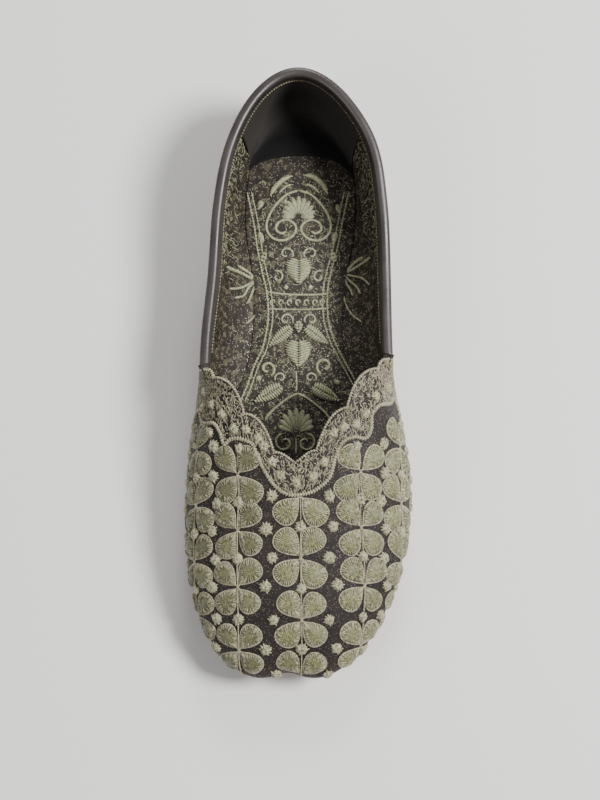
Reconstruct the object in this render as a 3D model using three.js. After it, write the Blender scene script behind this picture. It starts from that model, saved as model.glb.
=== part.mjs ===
// Mojari, left shoe: a flat slip-on with a V throat, an embroidered vamp with a scalloped edge,
// a rolled collar binding, a padded insole and a leather sole with a low heel lift.
// Millimetres, +Z up, the toe toward -Y, the outer side of the foot toward +X.
// The origin lies on the floor under the middle of the shoe.
import * as THREE from 'three';

// Driving dimensions of the last
const length = 250; // heel to toe, over the upper
const ballWidth = 88; // across the ball of the foot
const instep = 50; // the height that the vamp's shares follow
const collarHeight = 52; // collar above the floor at the back of the heel
const heelRise = 5; // lift of the heel seat above the tread
const toeSpring = 6.5; // lift of the sole at the toe
const toeTuck = 4; // how far the feather edge lies behind the toe
const heelTuck = 3; // how far the feather edge lies inside the back
const collarTuck = 3; // how far the collar leans in at the back

// Leather and padding
const wall = 2; // upper
const solePly = 4.5; // outsole
const insolePly = 3; // padded insole at its edge
const insolePad = 1.2; // extra height of the padding in the middle
const coverPly = 1.2; // embroidered vamp
const bindingPly = 1; // rolled collar binding
const bindingDepth = 6; // how far the binding reaches down from the collar's edge
const soleMargin = 1.6; // outsole beyond the feather edge
const soleBevel = 0.6; // rounding of the sole's edge
const fit = 0.3; // clearance between pieces that touch
const skinFit = 0.38; // the same under the embroidered vamp, where both faces curve twice

// Throat and the toe's dimple
const throatBehindToe = 79; // toe to the point of the V, in plan
const throatAside = -1.6; // the point of the V lies a little to the inner side
const throatRound = 0.12; // softness of the V's point, as a share of its half width
const shoulderShare = { medial: 0.5, lateral: 0.482 }; // where the collar turns into the throat
const scallopBase = 1.8; // the vamp's edge beyond the upper's, at a notch
const scallopLobe = 4.2; // and its lobes beyond the notches
const scallops = 3.2; // lobes on each side of the V
const scallopStart = 0.52; // share of a lobe already spent at the shoulder
const notchDepth = 3.6; // dimple in the middle of the toe
const notchSpread = 11; // its half width
const notchRun = 26; // and how far it fades out toward the throat

// Sections from the heel (share 0) to the toe (share 1).
// centre, sole, belt and collar are shares of ballWidth: the middle line and the fullness of each loop.
// beltRise and crown are shares of instep, collarRise of collarHeight, lift of heelRise, spring of toeSpring.
// square is the exponent that makes the vamp's cross section fuller.
const columns = [
  'share', 'centre', 'sole', 'belt', 'collar', 'beltRise', 'crown', 'collarRise', 'lift', 'spring', 'square',
];
const sections = [
  [0.00, 0.004, 0.450, 0.500, 0.505, 0.52, 1.75, 1.000, 1.00, 0.00, 2.6],
  [0.05, 0.010, 0.436, 0.500, 0.517, 0.52, 1.72, 0.985, 0.99, 0.00, 2.6],
  [0.12, 0.019, 0.404, 0.480, 0.516, 0.52, 1.68, 0.940, 0.96, 0.00, 2.6],
  [0.22, 0.015, 0.328, 0.436, 0.474, 0.52, 1.60, 0.860, 0.86, 0.00, 2.8],
  [0.34, 0.010, 0.228, 0.402, 0.436, 0.52, 1.45, 0.780, 0.62, 0.00, 3.0],
  [0.46, -0.003, 0.225, 0.414, 0.431, 0.48, 1.25, 0.770, 0.25, 0.00, 3.0],
  [0.58, 0.001, 0.370, 0.468, 0.440, 0.42, 1.08, 0.800, 0.00, 0.00, 2.6],
  [0.68, 0.008, 0.455, 0.532, 0.450, 0.38, 0.95, 0.820, 0.00, 0.00, 2.3],
  [0.78, -0.004, 0.520, 0.586, 0.460, 0.36, 0.80, 0.820, 0.00, 0.06, 2.3],
  [0.88, -0.022, 0.575, 0.641, 0.470, 0.34, 0.68, 0.820, 0.00, 0.36, 2.4],
  [0.95, -0.036, 0.622, 0.700, 0.480, 0.33, 0.60, 0.820, 0.00, 0.72, 2.5],
  [1.00, -0.042, 0.655, 0.745, 0.480, 0.33, 0.56, 0.820, 0.00, 1.00, 2.5],
];

const halfLength = length / 2;
const clamp = (value, low, high) => Math.min(Math.max(value, low), high);
const soft = (t) => t * t * (3 - 2 * t);

// A smooth run of one column along the shoe: cubic pieces with the neighbours' mean slope
function along(name, share) {
  const column = columns.indexOf(name);
  const last = sections.length - 1;
  const s = clamp(share, 0, 1);
  let i = 0;
  while (i < last - 1 && s > sections[i + 1][0]) i += 1;
  const slope = (k) => {
    const before = sections[Math.max(k - 1, 0)];
    const after = sections[Math.min(k + 1, last)];
    return (after[column] - before[column]) / (after[0] - before[0]);
  };
  const run = sections[i + 1][0] - sections[i][0];
  const t = (s - sections[i][0]) / run;
  return sections[i][column] * (1 + 2 * t) * (1 - t) ** 2
    + slope(i) * run * t * (1 - t) ** 2
    + sections[i + 1][column] * t * t * (3 - 2 * t)
    - slope(i + 1) * run * t * t * (1 - t);
}

// The ring angle is 0 at the toe, grows toward +X and is half a turn at the heel
const shareAt = (angle) => (1 + Math.cos(angle)) / 2;
const tread = (share) => Math.max(along('lift', share) * heelRise + along('spring', share) * toeSpring, 0);
const bed = (share) => tread(share) + solePly;
const centreAt = (share) => along('centre', share) * ballWidth;

const tucks = {
  sole: { toe: toeTuck, heel: heelTuck },
  belt: { toe: 0, heel: 0 },
  collar: { toe: collarTuck, heel: collarTuck },
};

// One closed loop of the last in plan, grown outward by a margin
function loopPoint(name, angle, grow = 0) {
  const place = (turn) => {
    const share = shareAt(turn);
    const reach = halfLength - (Math.cos(turn) > 0 ? tucks[name].toe : tucks[name].heel);
    return [centreAt(share) + along(name, share) * ballWidth * Math.sin(turn), -Math.cos(turn) * reach];
  };
  const [x, y] = place(angle);
  if (grow === 0) return [x, y];
  const step = 0.01;
  const [x0, y0] = place(angle - step);
  const [x1, y1] = place(angle + step);
  const size = Math.hypot(x1 - x0, y1 - y0);
  return [x + ((y1 - y0) / size) * grow, y - ((x1 - x0) / size) * grow];
}

// Ahead of this point the vamp closes along rays, behind it along straight cross sections
const spineShare = 0.82;
const spine = [centreAt(spineShare), (0.5 - spineShare) * length];
const rays = [];
for (let k = -120; k <= 120; k += 1) {
  const [x, y] = loopPoint('belt', (k / 120) * (Math.PI / 2));
  const turn = Math.atan2(x - spine[0], spine[1] - y);
  rays.push([turn, Math.hypot(x - spine[0], y - spine[1])]);
}

function rayReach(turn) {
  let i = 0;
  while (i < rays.length - 2 && turn > rays[i + 1][0]) i += 1;
  const t = clamp((turn - rays[i][0]) / (rays[i + 1][0] - rays[i][0]), 0, 1);
  return rays[i][1] + (rays[i + 1][1] - rays[i][1]) * t;
}

// Height of the vamp over a point of the plan, falling from the crown line to the belt
function crownHeight(x, y) {
  const share = 0.5 - y / length;
  const halfWidth = along('belt', share) * ballWidth * 2 * Math.sqrt(Math.max(share * (1 - share), 1e-6));
  let out = Math.abs(x - centreAt(share)) / halfWidth;
  if (y < spine[1]) {
    const [dx, dy] = [x - spine[0], spine[1] - y];
    out = Math.hypot(dx, dy) / rayReach(Math.atan2(dx, dy));
  }
  const low = along('beltRise', share) * instep;
  const high = along('crown', share) * instep;
  return low + (high - low) * Math.sqrt(1 - clamp(out, 0, 1) ** along('square', share));
}

// Vector helpers on plain [x, y, z] triples
const add = (p, q, scale = 1) => p.map((value, k) => value + q[k] * scale);
const sub = (p, q) => p.map((value, k) => value - q[k]);
const norm = (p) => Math.hypot(...p);
const unit = (p) => p.map((value) => value / (norm(p) || 1));
const cross = (p, q) => [p[1] * q[2] - p[2] * q[1], p[2] * q[0] - p[0] * q[2], p[0] * q[1] - p[1] * q[0]];
const hermite = (p, dp, q, dq, t) => p.map((value, k) => value * (1 + 2 * t) * (1 - t) ** 2
  + dp[k] * t * (1 - t) ** 2 + q[k] * t * t * (3 - 2 * t) - dq[k] * t * t * (1 - t));

const shoulderAngle = (angle) => Math.acos(2 * (angle >= 0 ? shoulderShare.lateral : shoulderShare.medial) - 1);

// The three ends of a rib of the upper: feather edge, belt and topline, and how far it is vamp
function ribEnds(angle) {
  const share = shareAt(angle);
  const feather = [...loopPoint('sole', angle), bed(share) + fit];
  const belt = [...loopPoint('belt', angle), along('beltRise', share) * instep];
  const turn = shoulderAngle(angle);
  const out = Math.abs(angle) / turn; // 0 at the point of the V, 1 at the shoulder
  if (out >= 1) {
    return { feather, belt, top: [...loopPoint('collar', angle), along('collarRise', share) * collarHeight], vamp: 0 };
  }
  const [sx, sy] = loopPoint('collar', Math.sign(angle || 1) * turn);
  const pointY = throatBehindToe - halfLength;
  const point = [centreAt(0.5 - pointY / length) + throatAside, pointY];
  const bend = (Math.sqrt(out * out + throatRound ** 2) - throatRound) / (Math.sqrt(1 + throatRound ** 2) - throatRound);
  const x = point[0] + (sx - point[0]) * out;
  const y = point[1] + (sy - point[1]) * bend;
  const vamp = soft(clamp((1 - out) / 0.3, 0, 1));
  const rim = along('collarRise', shareAt(turn)) * collarHeight;
  return { feather, belt, top: [x, y, rim * (1 - vamp) + crownHeight(x, y) * vamp], vamp };
}

const beltAt = 0.35; // where the belt lies on a rib that runs from 0 to 1

// A point of the upper's outer face: up the side from the feather edge to the belt,
// then to the topline, as a leaning wall at the quarters and along the crown on the vamp
function lastPoint(angle, up) {
  const { feather, belt, top, vamp } = ribEnds(angle);
  const out = [belt[0] - feather[0], belt[1] - feather[1], 0];
  const lean = [top[0] - belt[0], top[1] - belt[1], 0];
  const lowRise = belt[2] - feather[2];
  const highRise = top[2] - belt[2];
  if (up <= beltAt) {
    const start = [out[0] * 1.2, out[1] * 1.2, lowRise * 0.5];
    const side = (1 - vamp) * (lowRise / Math.max(highRise, 5));
    const end = [lean[0] * side, lean[1] * side, lowRise * 1.3];
    return hermite(feather, start, belt, end, up / beltAt);
  }
  const t = (up - beltAt) / (1 - beltAt);
  const wallStart = [lean[0] * (1 - vamp), lean[1] * (1 - vamp), highRise * 1.1];
  const leaning = hermite(belt, wallStart, top, [lean[0], lean[1], highRise * 0.9], t);
  const plan = (t * t * (1 - 0.35 * t)) / 0.65;
  const [x, y] = [belt[0] + lean[0] * plan, belt[1] + lean[1] * plan];
  const crowned = [x, y, crownHeight(x, y)];
  return leaning.map((value, k) => value * (1 - vamp) + crowned[k] * vamp);
}

// The dimple in the middle of the toe, full above the feather edge
const nearToe = (y) => soft(clamp((-y - (halfLength - notchRun)) / notchRun, 0, 1));
function dimple([x, y, z]) {
  const middle = Math.exp(-(((x - centreAt(1)) / notchSpread) ** 2));
  const above = soft(clamp((z - bed(1)) / 3, 0, 1));
  return [x, y + notchDepth * middle * nearToe(y) * above, z];
}

const surface = (angle, up) => dimple(lastPoint(angle, up));

function outward(angle, up) {
  const [da, du] = [0.01, 0.01];
  const round = sub(surface(angle + da, up), surface(angle - da, up));
  const rise = sub(surface(angle, up + (up > 1 - du ? 0 : du)), surface(angle, up - (up < du ? 0 : du)));
  return unit(cross(round, rise));
}

// A point at a height along a rib and at an offset from the outer face
const shell = (angle, up, offset) => add(surface(angle, up), outward(angle, up), offset);

// Rib length near its top, to set depths below or beyond the topline in millimetres
function ribPace(angle) {
  return norm(sub(surface(angle, 1), surface(angle, 0.96))) / 0.04;
}

// Closed mesh from quads: shared corners are joined and sides of no length are dropped
function solid(quads) {
  const index = new Map();
  const positions = [];
  const faces = [];
  const corner = (p) => {
    const key = p.map((value) => Math.round(value * 1e4)).join(' ');
    if (!index.has(key)) {
      index.set(key, positions.length / 3);
      positions.push(...p);
    }
    return index.get(key);
  };
  for (const quad of quads) {
    const [a, b, c, d] = quad.map(corner);
    if (a !== b && b !== c && c !== a) faces.push(a, b, c);
    if (a !== c && c !== d && d !== a) faces.push(a, c, d);
  }
  const geometry = new THREE.BufferGeometry();
  geometry.setAttribute('position', new THREE.Float32BufferAttribute(positions, 3));
  geometry.setIndex(faces);
  geometry.computeVertexNormals();
  return geometry;
}

// Skin over a row of ribs, each a closed round of points; a row that doesn't close has capped ends
function loft(ribs, closed) {
  const quads = [];
  const size = ribs[0].length;
  const rows = closed ? ribs.length : ribs.length - 1;
  for (let i = 0; i < rows; i += 1) {
    const [here, next] = [ribs[i], ribs[(i + 1) % ribs.length]];
    for (let j = 0; j < size; j += 1) {
      const k = (j + 1) % size;
      // both skins of a piece are split along the same diagonal
      const quad = [here[j], next[j], next[k], here[k]];
      quads.push(j < size / 2 ? quad : [...quad.slice(1), quad[0]]);
    }
  }
  if (!closed) {
    const [first, last] = [ribs[0], ribs[ribs.length - 1]];
    for (let j = 0; j < size / 2 - 1; j += 1) {
      const k = size - 1 - j;
      quads.push([first[j], first[j + 1], first[k - 1], first[k]]);
      quads.push([last[k], last[k - 1], last[j + 1], last[j]]);
    }
  }
  return solid(quads);
}

// Slab over one loop of the last: an upper and a lower face and a bevelled edge
function slab({ loop, grow, bevel, from, to, rows, across, top, bottom, toeTrim = 0 }) {
  const row = (angle, inset, height) => {
    const left = loopPoint(loop, -angle, grow - inset);
    const right = loopPoint(loop, angle, grow - inset);
    return Array.from({ length: across + 1 }, (_, j) => {
      const t = j / across;
      const [x, y] = [left[0] + (right[0] - left[0]) * t, left[1] + (right[1] - left[1]) * t];
      return [x, y + toeTrim * nearToe(y), height(shareAt(angle), 1 - (2 * t - 1) ** 2)];
    });
  };
  const middle = (s, pad) => (top(s, 0) + bottom(s, pad)) / 2;
  const quads = [];
  const angles = Array.from({ length: rows + 1 }, (_, i) => from + ((to - from) * i) / rows);
  const [above, edge, below] = [
    angles.map((angle) => row(angle, bevel, top)),
    angles.map((angle) => row(angle, 0, middle)),
    angles.map((angle) => row(angle, bevel, bottom)),
  ];
  for (let i = 0; i < rows; i += 1) {
    for (let j = 0; j < across; j += 1) {
      quads.push([above[i][j], above[i][j + 1], above[i + 1][j + 1], above[i + 1][j]]);
      quads.push([below[i][j], below[i + 1][j], below[i + 1][j + 1], below[i][j + 1]]);
    }
    for (const [high, low] of [[above, edge], [edge, below]]) {
      quads.push([high[i][0], high[i + 1][0], low[i + 1][0], low[i][0]]);
      quads.push([high[i][across], low[i][across], low[i + 1][across], high[i + 1][across]]);
    }
  }
  for (const [i, turned] of [[0, false], [rows, true]]) {
    for (const [high, low] of [[above, edge], [edge, below]]) {
      for (let j = 0; j < across; j += 1) {
        const quad = [high[i][j], low[i][j], low[i][j + 1], high[i][j + 1]];
        quads.push(turned ? quad.reverse() : quad);
      }
    }
  }
  return solid(quads);
}

// The upper's ribs and heights; what lies on the upper keeps to the same ones, so that the faces stay parallel
const heights = [0, 0.09, 0.18, 0.27, 0.35, 0.43, 0.52, 0.62, 0.74, 0.87, 1];
const steps = (from, to, count) => Array.from({ length: count + 1 }, (_, i) => from + ((to - from) * i) / count);
const shoulders = { medial: -shoulderAngle(-1), lateral: shoulderAngle(1) };
const vampTurns = steps(shoulders.medial, shoulders.lateral, 48);
const quarterTurns = steps(shoulders.lateral, 2 * Math.PI + shoulders.medial, 44);
const wrapped = (turn) => (turn > Math.PI ? turn - 2 * Math.PI : turn);
const endTurn = (fit + 0.1) / halfLength; // turn that parts the vamp's end from the binding's

// Upper: one hollow wall round the whole foot, open at the collar and throat and underneath
function upperGeometry() {
  const rounds = [...vampTurns, ...quarterTurns.slice(1, -1)].map(wrapped).map((angle) => {
    const outer = heights.map((up) => surface(angle, up));
    const inner = heights.map((up) => shell(angle, up, -wall));
    return [...outer, ...inner.reverse()];
  });
  return loft(rounds, true);
}

// Edge of the embroidered vamp beyond the upper's topline: scallops with a notch between them
function scallopDepth(angle) {
  const inward = 1 - Math.abs(angle) / shoulderAngle(angle);
  const phase = inward * scallops + scallopStart;
  return scallopBase + scallopLobe * Math.abs(Math.sin(Math.PI * phase)) ** 0.7 * soft(clamp(inward / 0.12, 0, 1));
}

// Embroidered vamp: a skin over the upper from shoulder to shoulder, with the scalloped edge
function coverGeometry() {
  const turns = [vampTurns[0] + endTurn, ...vampTurns.slice(1, -1), vampTurns[vampTurns.length - 1] - endTurn];
  const rounds = turns.map((angle) => {
    const topEdge = 1 + scallopDepth(angle) / ribPace(angle);
    const covered = [...heights.slice(1), topEdge]; // the feather edge stays bare
    const outer = covered.map((up) => shell(angle, up, skinFit + coverPly));
    const inner = covered.map((up) => shell(angle, up, skinFit));
    return [...outer, ...inner.reverse()];
  });
  return loft(rounds, false);
}

// Collar binding: a channel of thin leather over the collar's edge, from shoulder round the heel to shoulder
function bindingGeometry() {
  const half = wall / 2;
  const face = half + fit + bindingPly; // from the wall's middle to the binding's outside
  const slot = half + fit;
  // depth below the collar's edge and offset from the middle of the wall, for the outside and the slot
  const profile = [-1, -0.5, 0, 0.5, 1];
  const outside = [
    [bindingDepth, face], [bindingDepth * 0.45, face],
    ...profile.map((t) => [-face * Math.cos((t * Math.PI) / 2) + bindingPly * 0.6, -face * Math.sin((t * Math.PI) / 2)]),
    [bindingDepth * 0.45, -face], [bindingDepth, -face],
  ];
  const inside = [
    [bindingDepth, slot], [bindingDepth * 0.45, slot],
    ...profile.map((t) => [-fit * Math.cos((t * Math.PI) / 2), -slot * t]),
    [bindingDepth * 0.45, -slot], [bindingDepth, -slot],
  ];
  const sideGap = 1e-3; // keeps the end sections on the quarters' side of the shoulder
  const [first, last] = [quarterTurns[0] + sideGap, quarterTurns[quarterTurns.length - 1] - sideGap];
  const rounds = [first, ...quarterTurns.slice(1, -1), last].map(wrapped).map((angle) => {
    const pace = ribPace(angle);
    const rise = unit(sub(surface(angle, 1), surface(angle, 0.97)));
    const place = ([depth, offset]) => {
      const base = depth > 0 ? surface(angle, 1 - depth / pace) : add(surface(angle, 1), rise, -depth);
      return add(base, outward(angle, depth > 0 ? 1 - depth / pace : 1), offset - half);
    };
    return [...outside.map(place), ...inside.map(place).reverse()];
  });
  return loft(rounds, false);
}

const heelBreast = Math.acos(2 * 0.27 - 1); // ring angle of the heel lift's front face

const outsole = () => slab({
  loop: 'sole', grow: soleMargin, bevel: soleBevel, from: 0, to: Math.PI, rows: 40, across: 6,
  top: (share) => bed(share), bottom: (share) => tread(share),
});
const heelLift = () => slab({
  loop: 'sole', grow: soleMargin, bevel: soleBevel * 0.5, from: heelBreast, to: Math.PI, rows: 12, across: 6,
  top: (share) => tread(share) - fit, bottom: () => 0,
});
const insole = () => slab({
  loop: 'sole', grow: -(wall + fit), bevel: 0.4, toeTrim: notchDepth, from: 0, to: Math.PI, rows: 40, across: 8,
  top: (share, pad) => bed(share) + fit + insolePly + insolePad * soft(pad), bottom: (share) => bed(share) + fit,
});

const finishes = {
  upper: { color: 0x3b2d29, roughness: 0.62, metalness: 0.08 },
  vamp_cover: { color: 0x6a634b, roughness: 0.7, metalness: 0.05 },
  collar_binding: { color: 0x4b4242, roughness: 0.45, metalness: 0 },
  insole: { color: 0x574d40, roughness: 0.75, metalness: 0.03 },
  outsole: { color: 0x8d6a48, roughness: 0.6, metalness: 0 },
  heel_lift: { color: 0x5b4130, roughness: 0.55, metalness: 0 },
};
const pieces = {
  outsole, heel_lift: heelLift, upper: upperGeometry, vamp_cover: coverGeometry,
  collar_binding: bindingGeometry, insole,
};

const group = new THREE.Group();
for (const [name, build] of Object.entries(pieces)) {
  const mesh = new THREE.Mesh(build(), new THREE.MeshStandardMaterial(finishes[name]));
  mesh.name = name;
  group.add(mesh);
}

export default group;
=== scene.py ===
import math
import bpy
import numpy as np
from mathutils import Matrix, Vector


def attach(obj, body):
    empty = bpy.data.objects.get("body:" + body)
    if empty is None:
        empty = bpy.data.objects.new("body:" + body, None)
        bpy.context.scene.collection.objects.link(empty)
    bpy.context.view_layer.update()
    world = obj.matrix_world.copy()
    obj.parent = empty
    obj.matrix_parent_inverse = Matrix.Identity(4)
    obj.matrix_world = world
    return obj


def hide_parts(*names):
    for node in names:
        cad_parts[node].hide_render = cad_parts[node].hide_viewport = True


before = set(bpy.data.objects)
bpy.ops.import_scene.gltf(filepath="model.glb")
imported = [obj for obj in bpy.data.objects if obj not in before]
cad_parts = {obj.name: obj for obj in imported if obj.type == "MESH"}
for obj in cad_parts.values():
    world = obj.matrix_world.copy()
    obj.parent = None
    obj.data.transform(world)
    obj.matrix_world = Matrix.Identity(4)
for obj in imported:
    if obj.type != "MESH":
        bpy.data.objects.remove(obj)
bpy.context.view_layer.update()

# Mojari, left shoe. The shapes are worked out in millimetres in the frame of the packed
# model: +Z up, the toe toward -Y, the outer side of the foot toward +X.
mm = 0.001
rng = np.random.default_rng(7)

# The last: the same sizes and sections as the solids
last = dict(
    length=250.0, ballWidth=88.0, instep=50.0, collarHeight=52.0, heelRise=5.0, toeSpring=6.5,
    toeTuck=4.0, heelTuck=3.0, collarTuck=3.0, wall=2.0, solePly=4.5, insolePly=3.0, insolePad=1.2,
    coverPly=1.2, bindingPly=1.0, bindingDepth=6.0, soleMargin=1.6, fit=0.3, skinFit=0.38,
    throatBehindToe=79.0, throatAside=-1.6, throatRound=0.12, shoulderMedial=0.5, shoulderLateral=0.482,
    vampEase=0.3, scallopBase=1.8, scallopLobe=4.2, scallops=3.2, scallopStart=0.52, scallopPower=0.7,
    scallopRun=0.12, notchDepth=3.6, notchSpread=11.0, notchRun=26.0, notchFade=3.0, dentDepth=1.8,
    dentSpread=6.5,
)
sectionNames = "share centre sole belt collar beltRise crown collarRise lift spring square".split()
sectionRows = np.array([
    [0.00, 0.004, 0.450, 0.500, 0.505, 0.52, 1.75, 1.000, 1.00, 0.00, 2.6],
    [0.05, 0.010, 0.436, 0.500, 0.517, 0.52, 1.72, 0.985, 0.99, 0.00, 2.6],
    [0.12, 0.019, 0.404, 0.480, 0.516, 0.52, 1.68, 0.940, 0.96, 0.00, 2.6],
    [0.22, 0.015, 0.328, 0.436, 0.474, 0.52, 1.60, 0.860, 0.86, 0.00, 2.8],
    [0.34, 0.010, 0.228, 0.402, 0.436, 0.52, 1.45, 0.780, 0.62, 0.00, 3.0],
    [0.46, -0.003, 0.225, 0.414, 0.431, 0.48, 1.25, 0.770, 0.25, 0.00, 3.0],
    [0.58, 0.001, 0.370, 0.468, 0.440, 0.42, 1.08, 0.800, 0.00, 0.00, 2.6],
    [0.68, 0.008, 0.455, 0.532, 0.450, 0.38, 0.95, 0.820, 0.00, 0.00, 2.3],
    [0.78, -0.004, 0.520, 0.586, 0.460, 0.36, 0.80, 0.820, 0.00, 0.06, 2.3],
    [0.88, -0.022, 0.575, 0.641, 0.470, 0.34, 0.68, 0.820, 0.00, 0.36, 2.4],
    [0.95, -0.036, 0.622, 0.700, 0.480, 0.33, 0.60, 0.820, 0.00, 0.72, 2.5],
    [1.00, -0.042, 0.655, 0.745, 0.480, 0.33, 0.56, 0.820, 0.00, 1.00, 2.5],
])
sectionColumn = dict(zip(sectionNames, sectionRows.T))
halfLength = last["length"] / 2
tucks = dict(sole=(last["toeTuck"], last["heelTuck"]), belt=(0.0, 0.0), collar=(last["collarTuck"],) * 2)


turnStep = 0.01  # radians between two samples of a slope round the shoe
rimStep = 0.04  # share of a rib between two samples of its pace at the topline


def soft(t):
    # eases from 0 to 1: t squared times three less two t
    return t * t * (3 - 2 * t)


def along(name, share):
    # cubic pieces through the section rows, each with its neighbours' mean slope
    x, c = sectionColumn["share"], sectionColumn[name]
    slope = np.empty_like(c)
    slope[1:-1] = (c[2:] - c[:-2]) / (x[2:] - x[:-2])
    slope[0], slope[-1] = (c[1] - c[0]) / (x[1] - x[0]), (c[-1] - c[-2]) / (x[-1] - x[-2])
    s = np.clip(share, 0, 1)
    i = np.clip(np.searchsorted(x, s, side="right") - 1, 0, len(x) - 2)
    run = x[i + 1] - x[i]
    t = (s - x[i]) / run
    return (c[i] * (1 + 2 * t) * (1 - t) ** 2 + slope[i] * run * t * (1 - t) ** 2
            + c[i + 1] * t * t * (3 - 2 * t) - slope[i + 1] * run * t * t * (1 - t))


def shareAt(angle):
    # share of the length from heel to toe: half of one plus the cosine
    return (1 + np.cos(angle)) / 2


def tread(share):
    # height of the underside: the heel's rise plus the toe's spring, never under the floor
    rise, spring = along("lift", share) * last["heelRise"], along("spring", share) * last["toeSpring"]
    return np.maximum(rise + spring, 0)


def bed(share):
    # height of the foot bed: the tread and one sole
    return tread(share) + last["solePly"]


def centreAt(share):
    # how far across the middle line lies: its share of the ball's width
    return along("centre", share) * last["ballWidth"]


def loopPoint(name, angle, grow=0.0):
    # a loop of the last in plan: fullness times the sine across, the reach times the cosine along,
    # then moved out by the growth along its own normal
    def place(turn):
        # the loop's own point
        share = shareAt(turn)
        toe, heel = tucks[name]
        reach = halfLength - np.where(np.cos(turn) > 0, toe, heel)
        return centreAt(share) + along(name, share) * last["ballWidth"] * np.sin(turn), -np.cos(turn) * reach
    x, y = place(angle)
    x0, y0 = place(angle - turnStep)
    x1, y1 = place(angle + turnStep)
    size = np.hypot(x1 - x0, y1 - y0)
    return x + (y1 - y0) / size * grow, y - (x1 - x0) / size * grow


spineShare = 0.82  # ahead of this section the vamp closes along rays
spineX, spineY = float(centreAt(spineShare)), (0.5 - spineShare) * last["length"]
rayX, rayY = loopPoint("belt", np.linspace(-math.pi / 2, math.pi / 2, 721))
rayTurn, rayLength = np.arctan2(rayX - spineX, spineY - rayY), np.hypot(rayX - spineX, rayY - spineY)


def crownHeight(x, y):
    # height over the plan: the belt's, plus the crown's rise times the root of one less the outward
    # share to a power
    share = 0.5 - y / last["length"]
    halfWidth = along("belt", share) * last["ballWidth"] * 2 * np.sqrt(np.maximum(share * (1 - share), 1e-6))
    dx, dy = x - spineX, spineY - y
    ray = np.hypot(dx, dy) / np.interp(np.arctan2(dx, dy), rayTurn, rayLength)
    out = np.clip(np.where(y < spineY, ray, np.abs(x - centreAt(share)) / halfWidth), 0, 1)
    low, high = along("beltRise", share) * last["instep"], along("crown", share) * last["instep"]
    return low + (high - low) * np.sqrt(1 - out ** along("square", share))


def shoulderAngle(angle):
    # the angle where the collar ends: shareAt turned round, for each side's own share
    return np.arccos(2 * np.where(angle >= 0, last["shoulderLateral"], last["shoulderMedial"]) - 1)


def stack(*parts):
    # the parts beside one another in a new last axis
    return np.stack(np.broadcast_arrays(*parts), -1)


def ribEnds(angle):
    # the ends of a rib: feather edge on the sole, belt, and topline on the collar or the throat's V
    share = shareAt(angle)
    feather = stack(*loopPoint("sole", angle), bed(share) + last["fit"])
    belt = stack(*loopPoint("belt", angle), along("beltRise", share) * last["instep"])
    turn = shoulderAngle(angle)
    out = np.abs(angle) / turn
    cx, cy = loopPoint("collar", angle)
    cz = along("collarRise", share) * last["collarHeight"]
    sx, sy = loopPoint("collar", np.where(angle >= 0, 1, -1) * turn)
    py = last["throatBehindToe"] - halfLength
    px = centreAt(0.5 - py / last["length"]) + last["throatAside"]
    r = last["throatRound"]
    bend = (np.sqrt(out * out + r * r) - r) / (math.sqrt(1 + r * r) - r)
    x, y = px + (sx - px) * out, py + (sy - py) * bend
    vamp = np.where(out < 1, soft(np.clip((1 - out) / last["vampEase"], 0, 1)), 0.0)
    rim = along("collarRise", shareAt(turn)) * last["collarHeight"]
    z = rim * (1 - vamp) + crownHeight(x, y) * vamp
    return feather, belt, np.where((out < 1)[..., None], stack(x, y, z), stack(cx, cy, cz)), vamp


def hermite(p, dp, q, dq, t):
    # a cubic from p to q that leaves with the slope dp and arrives with dq
    return (p * (1 + 2 * t) * (1 - t) ** 2 + dp * t * (1 - t) ** 2
            + q * t * t * (3 - 2 * t) - dq * t * t * (1 - t))


beltAt = 0.35  # how far up each rib the belt is
# slopes of the ribs: out and up at the feather edge, up at the belt from below and above, up at the topline
slopes = dict(footOut=1.2, footUp=0.5, beltUp=1.3, wallUp=1.1, topUp=0.9, crownLate=0.35, leastRise=5.0)
flat3, up3 = np.array([1.0, 1.0, 0.0]), np.array([0.0, 0.0, 1.0])


def surface(angle, up):
    # the outer face: up the side from the feather edge to the belt, then a leaning wall or the crown
    angle, up = np.broadcast_arrays(np.asarray(angle, float), np.asarray(up, float))
    feather, belt, top, vamp = ribEnds(angle)
    w = vamp[..., None]
    out, lean = (belt - feather) * flat3, (top - belt) * flat3
    lowRise, highRise = (belt - feather)[..., 2:], (top - belt)[..., 2:]
    t1 = np.clip(up / beltAt, 0, 1)[..., None]
    side = (1 - w) * lowRise / np.maximum(highRise, slopes["leastRise"])
    low = hermite(feather, out * slopes["footOut"] + up3 * lowRise * slopes["footUp"],
                  belt, lean * side + up3 * lowRise * slopes["beltUp"], t1)
    t = np.maximum((up - beltAt) / (1 - beltAt), 0)[..., None]
    leaning = hermite(belt, lean * (1 - w) + up3 * highRise * slopes["wallUp"],
                      top, lean + up3 * highRise * slopes["topUp"], t)
    late = slopes["crownLate"]
    plan = (belt + lean * (t * t * (1 - late * t)) / (1 - late))[..., :2]
    crowned = np.concatenate([plan, crownHeight(plan[..., 0], plan[..., 1])[..., None]], -1)
    point = np.where(up[..., None] <= beltAt, low, leaning * (1 - w) + crowned * w)
    # the dimple in the middle of the toe
    x, y, z = point[..., 0], point[..., 1], point[..., 2]
    middle = np.exp(-((x - centreAt(1.0)) / last["notchSpread"]) ** 2)
    above = soft(np.clip((z - bed(1.0)) / last["notchFade"], 0, 1))
    point[..., 1] = y + last["notchDepth"] * middle * nearToe(y) * above + toeDent(x, y)
    return point


def toeDent(x, y):
    # the narrow dent in the middle of the toe's outline, sole and upper alike
    return last["dentDepth"] * np.exp(-((x - centreAt(1.0)) / last["dentSpread"]) ** 2) * nearToe(y)


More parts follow.
